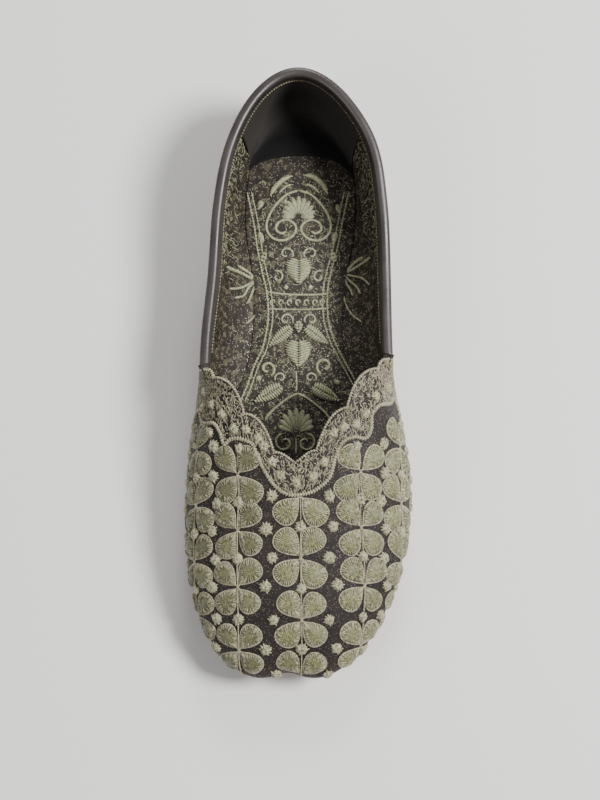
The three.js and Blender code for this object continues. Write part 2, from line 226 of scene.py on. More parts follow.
def nearToe(y):
    # 0 behind the dimple's run, easing to 1 at the tip of the toe
    return soft(np.clip((-y - (halfLength - last["notchRun"])) / last["notchRun"], 0, 1))


def wrapped(turn):
    # the same turn, from minus half a turn to half a turn
    return (turn + math.pi) % (2 * math.pi) - math.pi


def unit(v):
    # each vector over its own length
    return v / np.maximum(np.linalg.norm(v, axis=-1, keepdims=True), 1e-9)


def outward(angle, up):
    # the normal: the step round the shoe crossed with the step up the rib
    angle, up = np.broadcast_arrays(np.asarray(angle, float), np.asarray(up, float))
    around = surface(wrapped(angle + turnStep), up) - surface(wrapped(angle - turnStep), up)
    above, below = np.where(up > 1 - turnStep, up, up + turnStep), np.where(up < turnStep, up, up - turnStep)
    return unit(np.cross(around, surface(angle, above) - surface(angle, below)))


def shell(angle, up, offset):
    # the surface moved out along its normal by the offset
    return surface(angle, up) + outward(angle, up) * np.asarray(offset)[..., None]


def ribPace(angle):
    # millimetres up the rib for one whole rib, at the topline's own pace
    return np.linalg.norm(surface(angle, 1.0) - surface(angle, 1 - rimStep), axis=-1) / rimStep


def turnWidth(angle, up):
    # millimetres round the shoe between one step before the angle and one after it
    return np.linalg.norm(surface(angle + turnStep, up) - surface(angle - turnStep, up), axis=-1)


def scallopDepth(angle):
    # the embroidered vamp's edge beyond the upper's: a lobed sine that starts at the shoulder
    inward = 1 - np.abs(angle) / shoulderAngle(angle)
    phase = inward * last["scallops"] + last["scallopStart"]
    lobe = np.abs(np.sin(math.pi * phase)) ** last["scallopPower"]
    rise = soft(np.clip(inward / last["scallopRun"], 0, 1))
    return last["scallopBase"] + last["scallopLobe"] * lobe * rise


shoulders = (-float(shoulderAngle(-1.0)), float(shoulderAngle(1.0)))
coverTop = last["skinFit"] + last["coverPly"]

# Meshes


def makeMesh(name, verts, faces, material, uv=None, tone=None, smooth=True):
    # faces: arrays of corner numbers, one row per face; uv and tone: one value per vertex
    mesh = bpy.data.meshes.new(name)
    verts = np.asarray(verts, float).reshape(-1, 3) * mm
    mesh.vertices.add(len(verts))
    mesh.vertices.foreach_set("co", verts.ravel())
    corners = np.concatenate([f.ravel() for f in faces])
    sizes = np.concatenate([np.full(len(f), f.shape[1]) for f in faces])
    mesh.loops.add(len(corners))
    mesh.loops.foreach_set("vertex_index", corners.astype(np.int32))
    mesh.polygons.add(len(sizes))
    mesh.polygons.foreach_set("loop_start", (np.cumsum(sizes) - sizes).astype(np.int32))
    mesh.update(calc_edges=True)
    mesh.polygons.foreach_set("use_smooth", np.full(len(sizes), smooth))
    if uv is not None:
        layer = mesh.uv_layers.new(name="threads")
        layer.data.foreach_set("uv", np.asarray(uv, float).reshape(-1, 2)[corners].ravel())
    if tone is not None:
        layer = mesh.attributes.new("tone", "FLOAT", "POINT")
        layer.data.foreach_set("value", np.asarray(tone, float).ravel())
    mesh.validate()
    obj = bpy.data.objects.new(name, mesh)
    bpy.context.collection.objects.link(obj)
    obj.data.materials.append(material)
    return obj


def signedVolume(verts, faces):
    # a sixth of the sum of every triangle's three corners multiplied out, above nought if they face outward
    v = np.asarray(verts, float).reshape(-1, 3)
    total = 0.0
    for f in faces:
        for k in range(1, f.shape[1] - 1):
            total += np.sum(v[f[:, 0]] * np.cross(v[f[:, k]], v[f[:, k + 1]]))
    return total / 6


def outwardPiece(name, verts, faces, material, **extra):
    # a mesh with every face turned round if its volume comes out below nought
    if signedVolume(verts, faces) < 0:
        faces = [f[:, ::-1] for f in faces]
    return makeMesh(name, verts, faces, material, **extra)


def gridFaces(rows, cols, closeRows=False, closeCols=False, flip=False):
    # a quad between each point, the next row's, that one's neighbour and its own neighbour
    i = np.arange(rows if closeRows else rows - 1)[:, None]
    j = np.arange(cols if closeCols else cols - 1)[None, :]
    a, b = i * cols + j, (i + 1) % rows * cols + j
    c, d = (i + 1) % rows * cols + (j + 1) % cols, i * cols + (j + 1) % cols
    quads = stack(a, b, c, d).reshape(-1, 4)
    return quads[:, ::-1] if flip else quads


def tubeFaces(rows, cols):
    # a grid closed round its columns, with one face over each end
    end = np.arange(cols)[None]
    return [gridFaces(rows, cols, closeCols=True), end, end[:, ::-1] + (rows - 1) * cols]


def repeated(faces, copies, size):
    # the same faces for each of many copies of one motif
    return (faces[None] + (np.arange(copies) * size)[:, None, None]).reshape(-1, faces.shape[1])


def domeFaces(turns, rings):
    # rings of points round a top pole, closed by a pole underneath; the poles come last
    i, outer = np.arange(turns), (rings - 1) * turns
    after = (i + 1) % turns
    return [gridFaces(rings, turns, closeCols=True), stack(i, after, rings * turns),
            stack(outer + after, outer + i, rings * turns + 1)]


def tubes(paths, normals, widths, heights, sides=6, closed=False):
    # a flattened tube along each path: half the width times the cosine across it, half the height times the
    # sine along its normal; paths and normals are (copies, steps, 3), sizes broadcast to (copies, steps)
    run = np.roll(paths, -1, 1) - np.roll(paths, 1, 1) if closed else np.gradient(paths, axis=1)
    across = unit(np.cross(unit(run), normals))
    turn = np.linspace(0, 2 * math.pi, sides, endpoint=False)
    copies, steps = paths.shape[:2]
    w = np.broadcast_to(widths, (copies, steps))[..., None] / 2
    h = np.broadcast_to(heights, (copies, steps))[..., None] / 2
    ring = (paths[:, :, None] + across[:, :, None] * (w * np.cos(turn))[..., None]
            + normals[:, :, None] * (h * np.sin(turn))[..., None])
    faces, size = gridFaces(steps, sides, closeRows=closed, closeCols=True, flip=True), steps * sides
    # uv: centimetres along the path, and the share of the turn round it
    length = np.cumsum(np.linalg.norm(np.diff(paths, axis=1, prepend=paths[:, :1]), axis=-1), 1) / 10
    uv = stack(length[:, :, None], turn / (2 * math.pi)).reshape(copies, -1, 2)
    if closed:
        return ring.reshape(-1, 3), [repeated(faces, copies, size)], uv.reshape(-1, 2)
    verts = np.concatenate([ring.reshape(copies, -1, 3), paths[:, :1], paths[:, -1:]], 1)
    i, end = np.arange(sides), (steps - 1) * sides
    after = (i + 1) % sides
    fans = [stack(size, after, i), stack(size + 1, end + i, end + after)]
    uv = np.concatenate([uv, np.tile([[[0, 0], [1, 0]]], (copies, 1, 1))], 1)
    return verts.reshape(-1, 3), [repeated(f, copies, size + 2) for f in [faces] + fans], uv.reshape(-1, 2)


def joined(parts):
    # several (verts, faces, uv) sets as one
    verts, faces, uvs, base = [], [], [], 0
    for v, f, uv in parts:
        verts.append(v)
        faces += [one + base for one in f]
        uvs.append(uv)
        base += len(v)
    return np.concatenate(verts), faces, np.concatenate(uvs)


def lengthAlong(points):
    # the length from the first point to each one, by the sum of the steps between
    return np.concatenate([[0], np.cumsum(np.linalg.norm(np.diff(points, axis=0), axis=1))])


def finishPiece(obj, slot, *nodes):
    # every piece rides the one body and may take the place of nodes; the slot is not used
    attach(obj, "root")
    if nodes:
        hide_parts(*nodes)


def threadPiece(name, slot, mesh, material, tone):
    # a piece of thread from a (verts, faces, uv) set, with one tone for all or one for each vertex
    verts, faces, uv = mesh
    verts = verts.reshape(-1, 3)
    tone = np.broadcast_to(np.ravel(tone), len(verts))
    finishPiece(outwardPiece(name, verts, faces, material, uv=uv, tone=tone), slot)


# Short stitches: their start, middle and end, and how they bow. Then the vertices in one of them, and in
# one of the longer strokes.
stitchRun, stitchBow = np.array([-0.5, 0.0, 0.5]), np.array([0.0, 1.0, 0.0])
stitchCorners, strokeCorners = 3 * 4 + 2, 4 * 5 + 2


def strandTones(low, high, mesh, corners):
    # one random tone for each stitch, the same for all of its vertices
    return np.repeat(rng.uniform(low, high, len(mesh[0]) // corners), corners)


print("stage: the last and its loops")

# Camera: the photo's angle, looking down on the shoe from a little in front of the toe
photo = dict(width=600.0, height=800.0, tilt=12.0, distance=700.0, lens=76.54, sensor=36.0,
             target=(1.16, -10.58, 22.75))
tiltTurn = math.radians(photo["tilt"])
cameraBack = np.array([0.0, -math.sin(tiltTurn), math.cos(tiltTurn)])
cameraUp = np.array([0.0, math.cos(tiltTurn), math.sin(tiltTurn)])
cameraAt = np.array(photo["target"]) + cameraBack * photo["distance"]
pixelsPerUnit = photo["height"] / photo["sensor"] * photo["lens"]
midX, midY = photo["width"] / 2, photo["height"] / 2


def makeCamera():
    # its own back and up axes are the ones above
    data = bpy.data.cameras.new("camera")
    data.lens, data.sensor_width, data.sensor_fit = photo["lens"], photo["sensor"], "AUTO"
    data.clip_start, data.clip_end = 0.05, 20
    cam = bpy.data.objects.new("camera", data)
    bpy.context.collection.objects.link(cam)
    turn = Matrix((Vector((1, 0, 0)), Vector(cameraUp), Vector(cameraBack))).transposed()
    cam.matrix_world = Matrix.Translation(Vector(cameraAt * mm)) @ turn.to_4x4()
    bpy.context.scene.camera = cam


def seen(points):
    # the photo's pixel of each point: its steps across and up over its distance along the view
    d = points - cameraAt
    away = -(d @ cameraBack)
    return stack(midX + pixelsPerUnit * d[..., 0] / away, midY - pixelsPerUnit * (d @ cameraUp) / away)


def underPixel(pixels, height):
    # the plan point of a height field under each pixel: the sight line is cut with the last height found,
    # eight times over
    pixels = np.asarray(pixels, float)
    ray = (stack(np.ones(pixels.shape[:-1])) * -cameraBack
           + (pixels[..., :1] - midX) / pixelsPerUnit * np.array([1.0, 0, 0])
           - (pixels[..., 1:] - midY) / pixelsPerUnit * cameraUp)
    z = np.full(pixels.shape[:-1], 20.0)
    for _ in range(8):
        hit = cameraAt + ray * ((z - cameraAt[2]) / ray[..., 2])[..., None]
        z = height(hit[..., 0], hit[..., 1])
    return hit[..., :2]


makeCamera()

# Laying the embroidery: the vamp unrolled from its middle line, straight across behind the
# spine point and along rays ahead of it. q runs across, p forward, both in millimetres.
unrolled = dict(back=14.0, rows=70, rayRows=70, samples=50, footSteps=16, reach=100.0, step=0.5,
                tipInset=2.0)


def ribUnder(x, y, side):
    # the ribs are straight in plan: the angle whose rib passes over the point, then how far up it is, both
    # by halving the span that holds them
    low, high = np.full_like(x, -0.6), np.full_like(x, shoulders[1] if side > 0 else -shoulders[0])
    for _ in range(28):
        mid = (low + high) / 2
        _, belt, top, _ = ribEnds(mid * side)
        ahead = ((top[..., 0] - belt[..., 0]) * (y - belt[..., 1])
                 - (top[..., 1] - belt[..., 1]) * (x - belt[..., 0])) * side
        low, high = np.where(ahead > 0, low, mid), np.where(ahead > 0, mid, high)
    angle = (low + high) / 2 * side
    _, belt, top, vamp = ribEnds(angle)
    lean = (top - belt)[..., :2]
    share = ((x - belt[..., 0]) * lean[..., 0] + (y - belt[..., 1]) * lean[..., 1]) / np.sum(lean ** 2, -1)
    low, high, late = np.zeros_like(x), np.full_like(x, 1.12), slopes["crownLate"]
    for _ in range(26):
        t = (low + high) / 2
        leaning = (1 - vamp) * t * (1 - t) ** 2 + t * t * (3 - 2 * t) - t * t * (1 - t)
        path = leaning * (1 - vamp) + t * t * (1 - late * t) / (1 - late) * vamp
        low, high = np.where(path < share, t, low), np.where(path < share, high, t)
    return angle, beltAt + (1 - beltAt) * (low + high) / 2


def unrollTable(side):
    # for each row a curve over the vamp from its middle to the feather edge, with its arc length
    rows, rays, samples = unrolled["rows"], unrolled["rayRows"], unrolled["samples"]
    r = np.sin(np.linspace(0, math.pi / 2, samples))
    y = np.linspace(unrolled["back"], spineY, rows + 1)[:-1]
    share = 0.5 - y / last["length"]
    width = along("belt", share) * last["ballWidth"] * 2 * np.sqrt(share * (1 - share))
    backX, backY = centreAt(share)[:, None] + side * width[:, None] * r, y[:, None] + 0 * r
    turn = np.linspace(math.pi / 2, 0, rays + 1)
    reach = np.interp(side * turn, rayTurn, rayLength)
    rayPlanX = spineX + side * np.sin(turn)[:, None] * reach[:, None] * r
    rayPlanY = spineY - np.cos(turn)[:, None] * reach[:, None] * r
    planX, planY = np.concatenate([backX, rayPlanX]), np.concatenate([backY, rayPlanY])
    angle, up = ribUnder(planX, planY, side)
    down = np.linspace(beltAt, 0, unrolled["footSteps"])[1:]
    angle = np.concatenate([angle, np.repeat(angle[:, -1:], len(down), 1)], 1)
    up = np.concatenate([up[:, :-1], np.full((len(up), 1), beltAt), np.tile(down, (len(up), 1))], 1)
    piece = np.linalg.norm(np.diff(shell(angle, up, coverTop), axis=1), axis=-1)
    arc = np.concatenate([np.zeros((len(piece), 1)), np.cumsum(piece, 1)], 1)
    # behind the throat's tip the middle is open, so those rows are lined up at the belt instead
    atBelt = arc[:, samples - 1].copy()
    tip = np.argmax(y < last["throatBehindToe"] - halfLength - unrolled["tipInset"])
    edge = np.append(width, np.zeros(rays + 1))
    atBelt = np.where(np.arange(len(atBelt)) < tip, atBelt[tip] + edge - edge[tip], atBelt)
    across = arc - arc[:, samples - 1:samples] + atBelt[:, None]
    q = np.arange(0, unrolled["reach"], unrolled["step"])
    angles = np.array([np.interp(q, a, b) for a, b in zip(across, angle)])
    ups = np.array([np.interp(q, a, b) for a, b in zip(across, up)])
    return angles, ups


tables = {side: unrollTable(side) for side in (-1, 1)}


def onVamp(q, p):
    # the rib angle and height under a pattern point: its row and column in the unrolled table, and a
    # blend of the four entries round it
    q, p = np.asarray(q, float), np.asarray(p, float)
    share = np.clip(0.5 + p / last["length"], 0, 1)
    ahead = p + spineY
    middle = np.where(ahead > 0, spineX, centreAt(share))
    q = q - middle
    turn = np.arctan2(np.abs(q), ahead)
    row = np.where(ahead > 0, unrolled["rows"] + (1 - turn / (math.pi / 2)) * unrolled["rayRows"],
                   (unrolled["back"] + p) / (unrolled["back"] - spineY) * unrolled["rows"])
    col = np.where(ahead > 0, np.hypot(q, ahead), np.abs(q)) / unrolled["step"]
    side = np.where(q >= 0, 1, 0)
    angles, ups = (np.stack([tables[-1][k], tables[1][k]]) for k in (0, 1))
    row, col = np.clip(row, 0, angles.shape[1] - 1.001), np.clip(col, 0, angles.shape[2] - 1.001)
    i, j = row.astype(int), col.astype(int)
    fi, fj = row - i, col - j

    def blend(table):
        # the four entries, each weighed by how near the point is
        return ((table[side, i, j] * (1 - fj) + table[side, i, j + 1] * fj) * (1 - fi)
                + (table[side, i + 1, j] * (1 - fj) + table[side, i + 1, j + 1] * fj) * fi)
    return blend(angles), blend(ups)


def raised(q, p, height):
    # a pattern point on the embroidered vamp, raised by a height
    angle, up = onVamp(q, p)
    return shell(angle, up, coverTop + np.asarray(height))


print("stage: the vamp unrolled")

# Materials: each is a short list of nodes on one Principled shader


def newMaterial(name, roughness=0.5, **values):
    # a Principled material; each value names its socket, with _ for a space
    mat = bpy.data.materials.new(name)
    mat.use_nodes = True
    shader = mat.node_tree.nodes["Principled BSDF"]
    shader.inputs["Roughness"].default_value = roughness
    for socket, value in values.items():
        shader.inputs[socket.replace("_", " ")].default_value = value
    return mat, mat.node_tree, shader


def node(tree, kind, links=(), **values):
    # a node of that kind; links are (its socket, the source socket), values set its sockets or its options
    made = tree.nodes.new("ShaderNode" + kind)
    for key, value in values.items():
        if hasattr(made, key):
            setattr(made, key, value)
        else:
            made.inputs[key.replace("_", " ")].default_value = value
    for socket, source in links:
        tree.links.new(source, made.inputs[socket])
    return made


def spread(tree, source, low, high, toLow=0.0, toHigh=1.0):
    # the source's span from low to high, carried over to another span
    return node(tree, "MapRange", [("Value", source)], From_Min=low, From_Max=high,
                To_Min=toLow, To_Max=toHigh).outputs["Result"]


def maths(tree, operation, *values):
    # one operation on one or two values, each a number or another node's
    made = node(tree, "Math", operation=operation)
    for socket, value in zip(made.inputs, values):
        if hasattr(value, "is_output"):
            tree.links.new(value, socket)
        else:
            socket.default_value = value
    return made.outputs[0]


def noise(tree, where, scale, detail):
    # clouds of noise, so many to the metre
    return node(tree, "TexNoise", [("Vector", where)], Scale=scale, Detail=detail).outputs["Fac"]


def shaded(colour, share):
    # the colour times a share
    return tuple(c * share for c in colour)


def mixed(tree, factor, a, b, blend="MIX"):
    # a mix of two colours, each a fixed one or another node's
    made = tree.nodes.new("ShaderNodeMix")
    made.data_type, made.blend_type = "RGBA", blend
    for socket, value in ((0, factor), (6, a), (7, b)):
        if hasattr(value, "is_output"):
            tree.links.new(value, made.inputs[socket])
        else:
            made.inputs[socket].default_value = value if socket == 0 else (*value, 1)
    return made.outputs[2]


def bumped(tree, shader, height, strength, distance):
    # a height of so many millimetres that only the light feels
    bump = node(tree, "Bump", [("Height", height)], Strength=strength, Distance=distance * mm)
    tree.links.new(bump.outputs["Normal"], shader.inputs["Normal"])


def threadMaterial(name, dark, light, roughness, stripes):
    # satin stitch: ridges by the size of a sine along the thread, so many to each unit of its uv, times a
    # fine noise, over wide clouds of wear; the colour is a painted sheen on each ridge and a painted shade
    # in the grooves between. The piece's own tone lightens it; on the petals a lower tone is also a painted
    # shade on the medial side
    mat, tree, shader = newMaterial(name, roughness, Sheen_Weight=0.25, Sheen_Roughness=0.4,
                                    Specular_IOR_Level=0.5)
    uv = node(tree, "UVMap", uv_map="threads").outputs["UV"]
    runAlong = node(tree, "SeparateXYZ", [("Vector", uv)]).outputs["X"]
    wave = maths(tree, "SINE", maths(tree, "MULTIPLY", runAlong, stripes * math.pi))
    ridge = maths(tree, "ABSOLUTE", wave)
    where = node(tree, "TexCoord").outputs["Object"]
    fibre, cloud = noise(tree, where, 1150.0, 2.0), noise(tree, where, 90.0, 2.0)
    tone = node(tree, "Attribute", attribute_name="tone").outputs["Fac"]
    # fibre noise times the stripes: painted sheen on the ridges, painted shade in the grooves
    fibreAndRidgeShade = maths(tree, "MULTIPLY", spread(tree, fibre, 0.3, 0.7), spread(tree, ridge, 0.0, 0.8))
    colour = mixed(tree, fibreAndRidgeShade, dark, light)
    worn = mixed(tree, spread(tree, cloud, 0.35, 0.65, 0.0, 0.35), colour, shaded(light, 0.55))
    toned = mixed(tree, spread(tree, tone, 0.0, 1.0, 0.5, 0.0), worn, shaded(dark, 0.4))
    tree.links.new(toned, shader.inputs["Base Color"])
    bumped(tree, shader, maths(tree, "ADD", ridge, spread(tree, fibre, 0.3, 0.7, 0.0, 0.5)), 0.5, 0.12)
    return mat


def glitterMaterial(name, ground, fleck, share, size, sprig=None):
    # dark cloth with glitter: of small random cells, the given share are bright metal flecks, each a disc in
    # the middle of its cell; sprig adds clouds of another colour, as (scale, colour, strength)
    mat, tree, shader = newMaterial(name, 0.55, Specular_IOR_Level=0.35)
    where = node(tree, "TexCoord").outputs["Object"]
    cells = node(tree, "TexVoronoi", [("Vector", where)], Scale=1000 / size)
    parts = node(tree, "SeparateColor", [("Color", cells.outputs["Color"])])
    chosen = maths(tree, "GREATER_THAN", parts.outputs["Red"], 1 - share)
    spot = maths(tree, "MULTIPLY", chosen, maths(tree, "LESS_THAN", cells.outputs["Distance"], 0.42))
    cloud, fine = noise(tree, where, 260.0, 4.0), noise(tree, where, 1500.0, 2.0)
    base = mixed(tree, spread(tree, cloud, 0.35, 0.7), shaded(ground, 0.6), shaded(ground, 1.5))
    if sprig:
        patches = noise(tree, where, sprig[0], 3.0)
        base = mixed(tree, spread(tree, patches, 0.52, 0.62, 0.0, sprig[2]), base, sprig[1])
    tree.links.new(mixed(tree, spot, base, fleck), shader.inputs["Base Color"])
    tree.links.new(spread(tree, spot, 0, 1, 0.0, 0.5), shader.inputs["Metallic"])
    tree.links.new(spread(tree, spot, 0, 1, 0.65, 0.38), shader.inputs["Roughness"])
    uneven = spread(tree, parts.outputs["Green"], 0, 1, 0, 0.6)
    bumped(tree, shader, maths(tree, "ADD", fine, uneven), 0.6, 0.15)
    return mat


def leatherMaterial(name, dark, light, roughness, bump=0.06, gloss=0.5, byTone=False):
    # leather: two tones in soft clouds, or by the mesh's own tone, and a fine pebbled grain
    mat, tree, shader = newMaterial(name, roughness, Specular_IOR_Level=gloss)
    where = node(tree, "TexCoord").outputs["Object"]
    cloud = noise(tree, where, 60.0, 5.0)
    pebble = node(tree, "TexVoronoi", [("Vector", where)], Scale=900.0).outputs["Distance"]
    tone = node(tree, "Attribute", attribute_name="tone").outputs["Fac"]
    share = tone if byTone else spread(tree, cloud, 0.35, 0.65)
    tree.links.new(mixed(tree, share, dark, light), shader.inputs["Base Color"])
    polish = spread(tree, cloud, 0.3, 0.7, roughness - 0.06, roughness + 0.08)
    tree.links.new(polish, shader.inputs["Roughness"])
    bumped(tree, shader, pebble, 0.4, bump)
    return mat


tint = dict(
    # each thread's Dark and Light are mixed by fine fibre noise and by its stripes, as a painted shade in
    # the grooves and a painted sheen on the ridges
    petalDark=(0.042, 0.042, 0.014), petalLight=(0.350, 0.345, 0.165),
    rimDark=(0.075, 0.070, 0.032), rimLight=(0.740, 0.690, 0.440),
    cordDark=(0.095, 0.084, 0.048), cordLight=(0.640, 0.580, 0.390),
    leafDark=(0.170, 0.172, 0.088), leafLight=(0.540, 0.545, 0.345),
    ground=(0.014, 0.0095, 0.0075), groundFleck=(0.17, 0.14, 0.12),
    lining=(0.024, 0.0185, 0.0135), fleck=(0.400, 0.340, 0.290), sprig=(0.13, 0.115, 0.07),
    # seat: near black, the painted shade on the heel patch's part over the foot bed
    binding=(0.034, 0.028, 0.026), heelPatch=(0.040, 0.036, 0.032), seat=(0.0035, 0.0033, 0.0032),
    soleDark=(0.200, 0.110, 0.055), soleLight=(0.330, 0.200, 0.110),
    heelDark=(0.09, 0.05, 0.03), heelLight=(0.16, 0.09, 0.05),
)
petalThread = threadMaterial("petal thread", tint["petalDark"], tint["petalLight"], 0.5, 14)
rimThread = threadMaterial("rim thread", tint["rimDark"], tint["rimLight"], 0.45, 22)
cordThread = threadMaterial("cord thread", tint["cordDark"], tint["cordLight"], 0.5, 18)
leafThread = threadMaterial("leaf thread", tint["leafDark"], tint["leafLight"], 0.5, 22)
groundCloth = glitterMaterial("vamp ground", tint["ground"], tint["groundFleck"], 0.2, 0.42)
quarterCloth = glitterMaterial("quarter cloth", tint["ground"], tint["groundFleck"], 0.14, 0.42)
liningCloth = glitterMaterial("lining cloth", tint["lining"], tint["fleck"], 0.14, 0.5,
                              sprig=(420.0, tint["sprig"], 0.6))
insoleCloth = glitterMaterial("insole cloth", tint["lining"], tint["fleck"], 0.14, 0.5,
                              sprig=(420.0, tint["sprig"], 0.5))
bindingLeather = leatherMaterial("binding leather", tint["binding"], shaded(tint["binding"], 1.5), 0.36)
# the heel patch goes by its tone from its own dark leather to near black; the near black is a painted shade
# on the seat
patchLeather = leatherMaterial("heel patch leather", tint["heelPatch"], tint["seat"], 0.75, gloss=0.25,
                               byTone=True)
soleLeather = leatherMaterial("sole leather", tint["soleDark"], tint["soleLight"], 0.55, bump=0.1)
heelLeather = leatherMaterial("heel leather", tint["heelDark"], tint["heelLight"], 0.5, bump=0.1)
print("stage: materials")

# Sole, heel lift and insole: rungs across from edge to edge, each ringed by its rounded edge
slabs = dict(rungs=300, heelRungs=90, across=28, edgeSteps=7, endTurn=0.004, soleBevel=0.6, heelBevel=0.5,
             heelFront=0.27)


def slabPiece(name, material, bevel, floor, ceiling, angles):
    # the sole's outline and margin, its edge rounded by quarter circles of the bevel, its rungs straight
    # across; floor and ceiling give the heights at a share of the length
    a, grow, across = angles[:, None], last["soleMargin"], slabs["across"]
    share = shareAt(a)
    z0, z1 = floor(share), ceiling(share)
    k = slabs["edgeSteps"]
    turn = np.linspace(0, math.pi / 2, k)
    growth = np.concatenate([grow - bevel * (1 - np.sin(turn)), grow - bevel * (1 - np.cos(turn))])
    rise = np.concatenate([z0 + bevel * (1 - np.cos(turn)), z1 - bevel * (1 - np.sin(turn))], 1)

    def edge(side):
        # one side's rounded edge, from the underside up
        x, y = loopPoint("sole", side * a, growth)
        return np.stack([x, y + toeDent(x, y), rise], -1)
    right, left = edge(1), edge(-1)
    t = np.linspace(0, 1, across + 2)[1:-1][:, None]
    top = right[:, -1:] * (1 - t) + left[:, -1:] * t
    base = left[:, :1] * (1 - t) + right[:, :1] * t
    ring = np.concatenate([right, top, left[:, ::-1], base], 1)
    rows, cols = ring.shape[:2]
    # each end is closed by quads from edge to edge, and one face each along the top and the base
    i, far = np.arange(1, 2 * k - 2), 4 * k + across - 1
    over = np.arange(2 * k - 2, 2 * k + across + 2)[None]
    under = np.append(np.arange(far - 1, cols), [0, 1])[None]
    ends = [stack(i, i + 1, far - i - 1, far - i), over, under]
    faces = [gridFaces(rows, cols, closeCols=True)] + ends + [f[:, ::-1] + (rows - 1) * cols for f in ends]
    return outwardPiece(name, ring, faces, material)


toeTurn, heelTurn = slabs["endTurn"], math.pi - slabs["endTurn"]
fullTurns = np.linspace(toeTurn, heelTurn, slabs["rungs"])
heelTurns = np.linspace(math.acos(2 * slabs["heelFront"] - 1), heelTurn, slabs["heelRungs"])
outsole = slabPiece("sole_leather", soleLeather, slabs["soleBevel"], tread, bed, fullTurns)
finishPiece(outsole, "outsole", "outsole")
heelLift = slabPiece("heel_lift_leather", heelLeather, slabs["heelBevel"], lambda s: 0 * s,
                     lambda s: tread(s) - last["fit"], heelTurns)
finishPiece(heelLift, "heel_lift", "heel_lift")


# Insole: fills the foot bed from wall to wall, its top a soft dome
insoleSize = dict(gap=0.12, clear=0.05, levels=7, bevel=0.9, rungs=300, across=40, wallSteps=61, wallTop=0.6,
                  leanAt=0.2)


def wallInside(angle, height, gap):
    # where the inside of the wall is at each height: the rib's samples, cut at that height
    ups = np.linspace(0, insoleSize["wallTop"], insoleSize["wallSteps"])
    wall = shell(angle[:, None], ups, -last["wall"] - gap)
    z = np.maximum.accumulate(wall[..., 2], 1)
    i = np.clip(np.sum(z[:, None] < height[..., None], -1) - 1, 0, len(ups) - 2)
    rows = np.arange(len(angle))[:, None]
    f = np.clip((height - z[rows, i]) / np.maximum(z[rows, i + 1] - z[rows, i], 1e-3), 0, 1)[..., None]
    return wall[rows, i] * (1 - f) + wall[rows, i + 1] * f


def insoleEdges():
    # its two sides rung by rung: on the wall, then in along a quarter circle of the bevel
    angle = np.linspace(slabs["endTurn"], math.pi - slabs["endTurn"], insoleSize["rungs"])
    low = bed(shareAt(angle))[:, None] + last["fit"]
    bevel = insoleSize["bevel"]
    turn = np.linspace(0, math.pi / 2, insoleSize["levels"])
    rise = np.concatenate([[insoleSize["clear"]], last["insolePly"] - bevel * (1 - np.sin(turn))])
    inset = np.concatenate([[0.0], bevel * (1 - np.cos(turn))])
    sides = []
    for side in (1, -1):
        point = wallInside(side * angle, low + rise, insoleSize["gap"])
        inward = -outward(side * angle, insoleSize["leanAt"]) * flat3
        sides.append(point + unit(inward)[:, None] * inset[:, None])
        sides[-1][..., 2] = low + rise
    return sides


rightEdge, leftEdge = insoleEdges()
rungY = (rightEdge[:, -1, 1] + leftEdge[:, -1, 1]) / 2


def insoleTop(x, y):
    # height of the insole over the plan: the bed, its ply and the soft dome between its two edges
    right = np.interp(y, rungY, rightEdge[:, -1, 0])
    left = np.interp(y, rungY, leftEdge[:, -1, 0])
    level = np.interp(y, rungY, rightEdge[:, -1, 2])
    t = np.clip((x - left) / np.maximum(right - left, 1), 0, 1)
    return level + last["insolePad"] * soft(1 - (2 * t - 1) ** 2)


def insolePiece():
    # rungs straight across underneath and domed on top, each ringed by the two edges
    t = np.linspace(0, 1, insoleSize["across"] + 2)[1:-1][:, None]
    top = rightEdge[:, -1:] * (1 - t) + leftEdge[:, -1:] * t
    top[..., 2] = insoleTop(top[..., 0], top[..., 1])
    base = leftEdge[:, :1] * (1 - t) + rightEdge[:, :1] * t
    ring = np.concatenate([rightEdge, top, leftEdge[:, ::-1], base], 1)
    return outwardPiece("insole_pad", ring, tubeFaces(*ring.shape[:2]), insoleCloth)


insole = insolePiece()
finishPiece(insole, "insole", "insole")
print("stage: sole, heel lift and insole")

# Upper: outside, over the topline and down the inside, one skin with its own lining
upperGrid = dict(turns=520, outer=44, inner=44, rim=3)


def upperPiece():
    # up the outside, over the rim by half a circle as wide as the wall, and down the inside
    angle = np.linspace(-math.pi, math.pi, upperGrid["turns"], endpoint=False)
    up = np.concatenate([np.linspace(0, 1, upperGrid["outer"]), np.ones(upperGrid["rim"]),
                         np.linspace(1, 0, upperGrid["inner"])])
    turn = np.linspace(0, math.pi, upperGrid["rim"] + 2)[1:-1]
    offset = np.concatenate([np.zeros(upperGrid["outer"]), -last["wall"] / 2 * (1 - np.cos(turn)),
                             np.full(upperGrid["inner"], -last["wall"])])
    point = shell(angle, up[:, None], offset[:, None])
    faces = gridFaces(len(up), len(angle), closeRows=True, closeCols=True)
    obj = outwardPiece("upper_skin", point, [faces], quarterCloth)
    obj.data.materials.append(liningCloth)
    inside = np.repeat(np.arange(len(up)) >= upperGrid["outer"], len(angle))
    obj.data.polygons.foreach_set("material_index", inside.astype(np.int32))
    return obj


finishPiece(upperPiece(), "upper", "upper")

# Vamp cover: a cloth from the sole to its scalloped edge, closed on every side
coverGrid = dict(turns=340, ups=60, foot=0.03, endGap=(last["fit"] + 0.1) / halfLength)


def coverEdge(angle):
    # how far up each rib the cloth ends: past the topline by the scallop's depth over the rib's pace
    return 1 + scallopDepth(angle) / ribPace(angle)


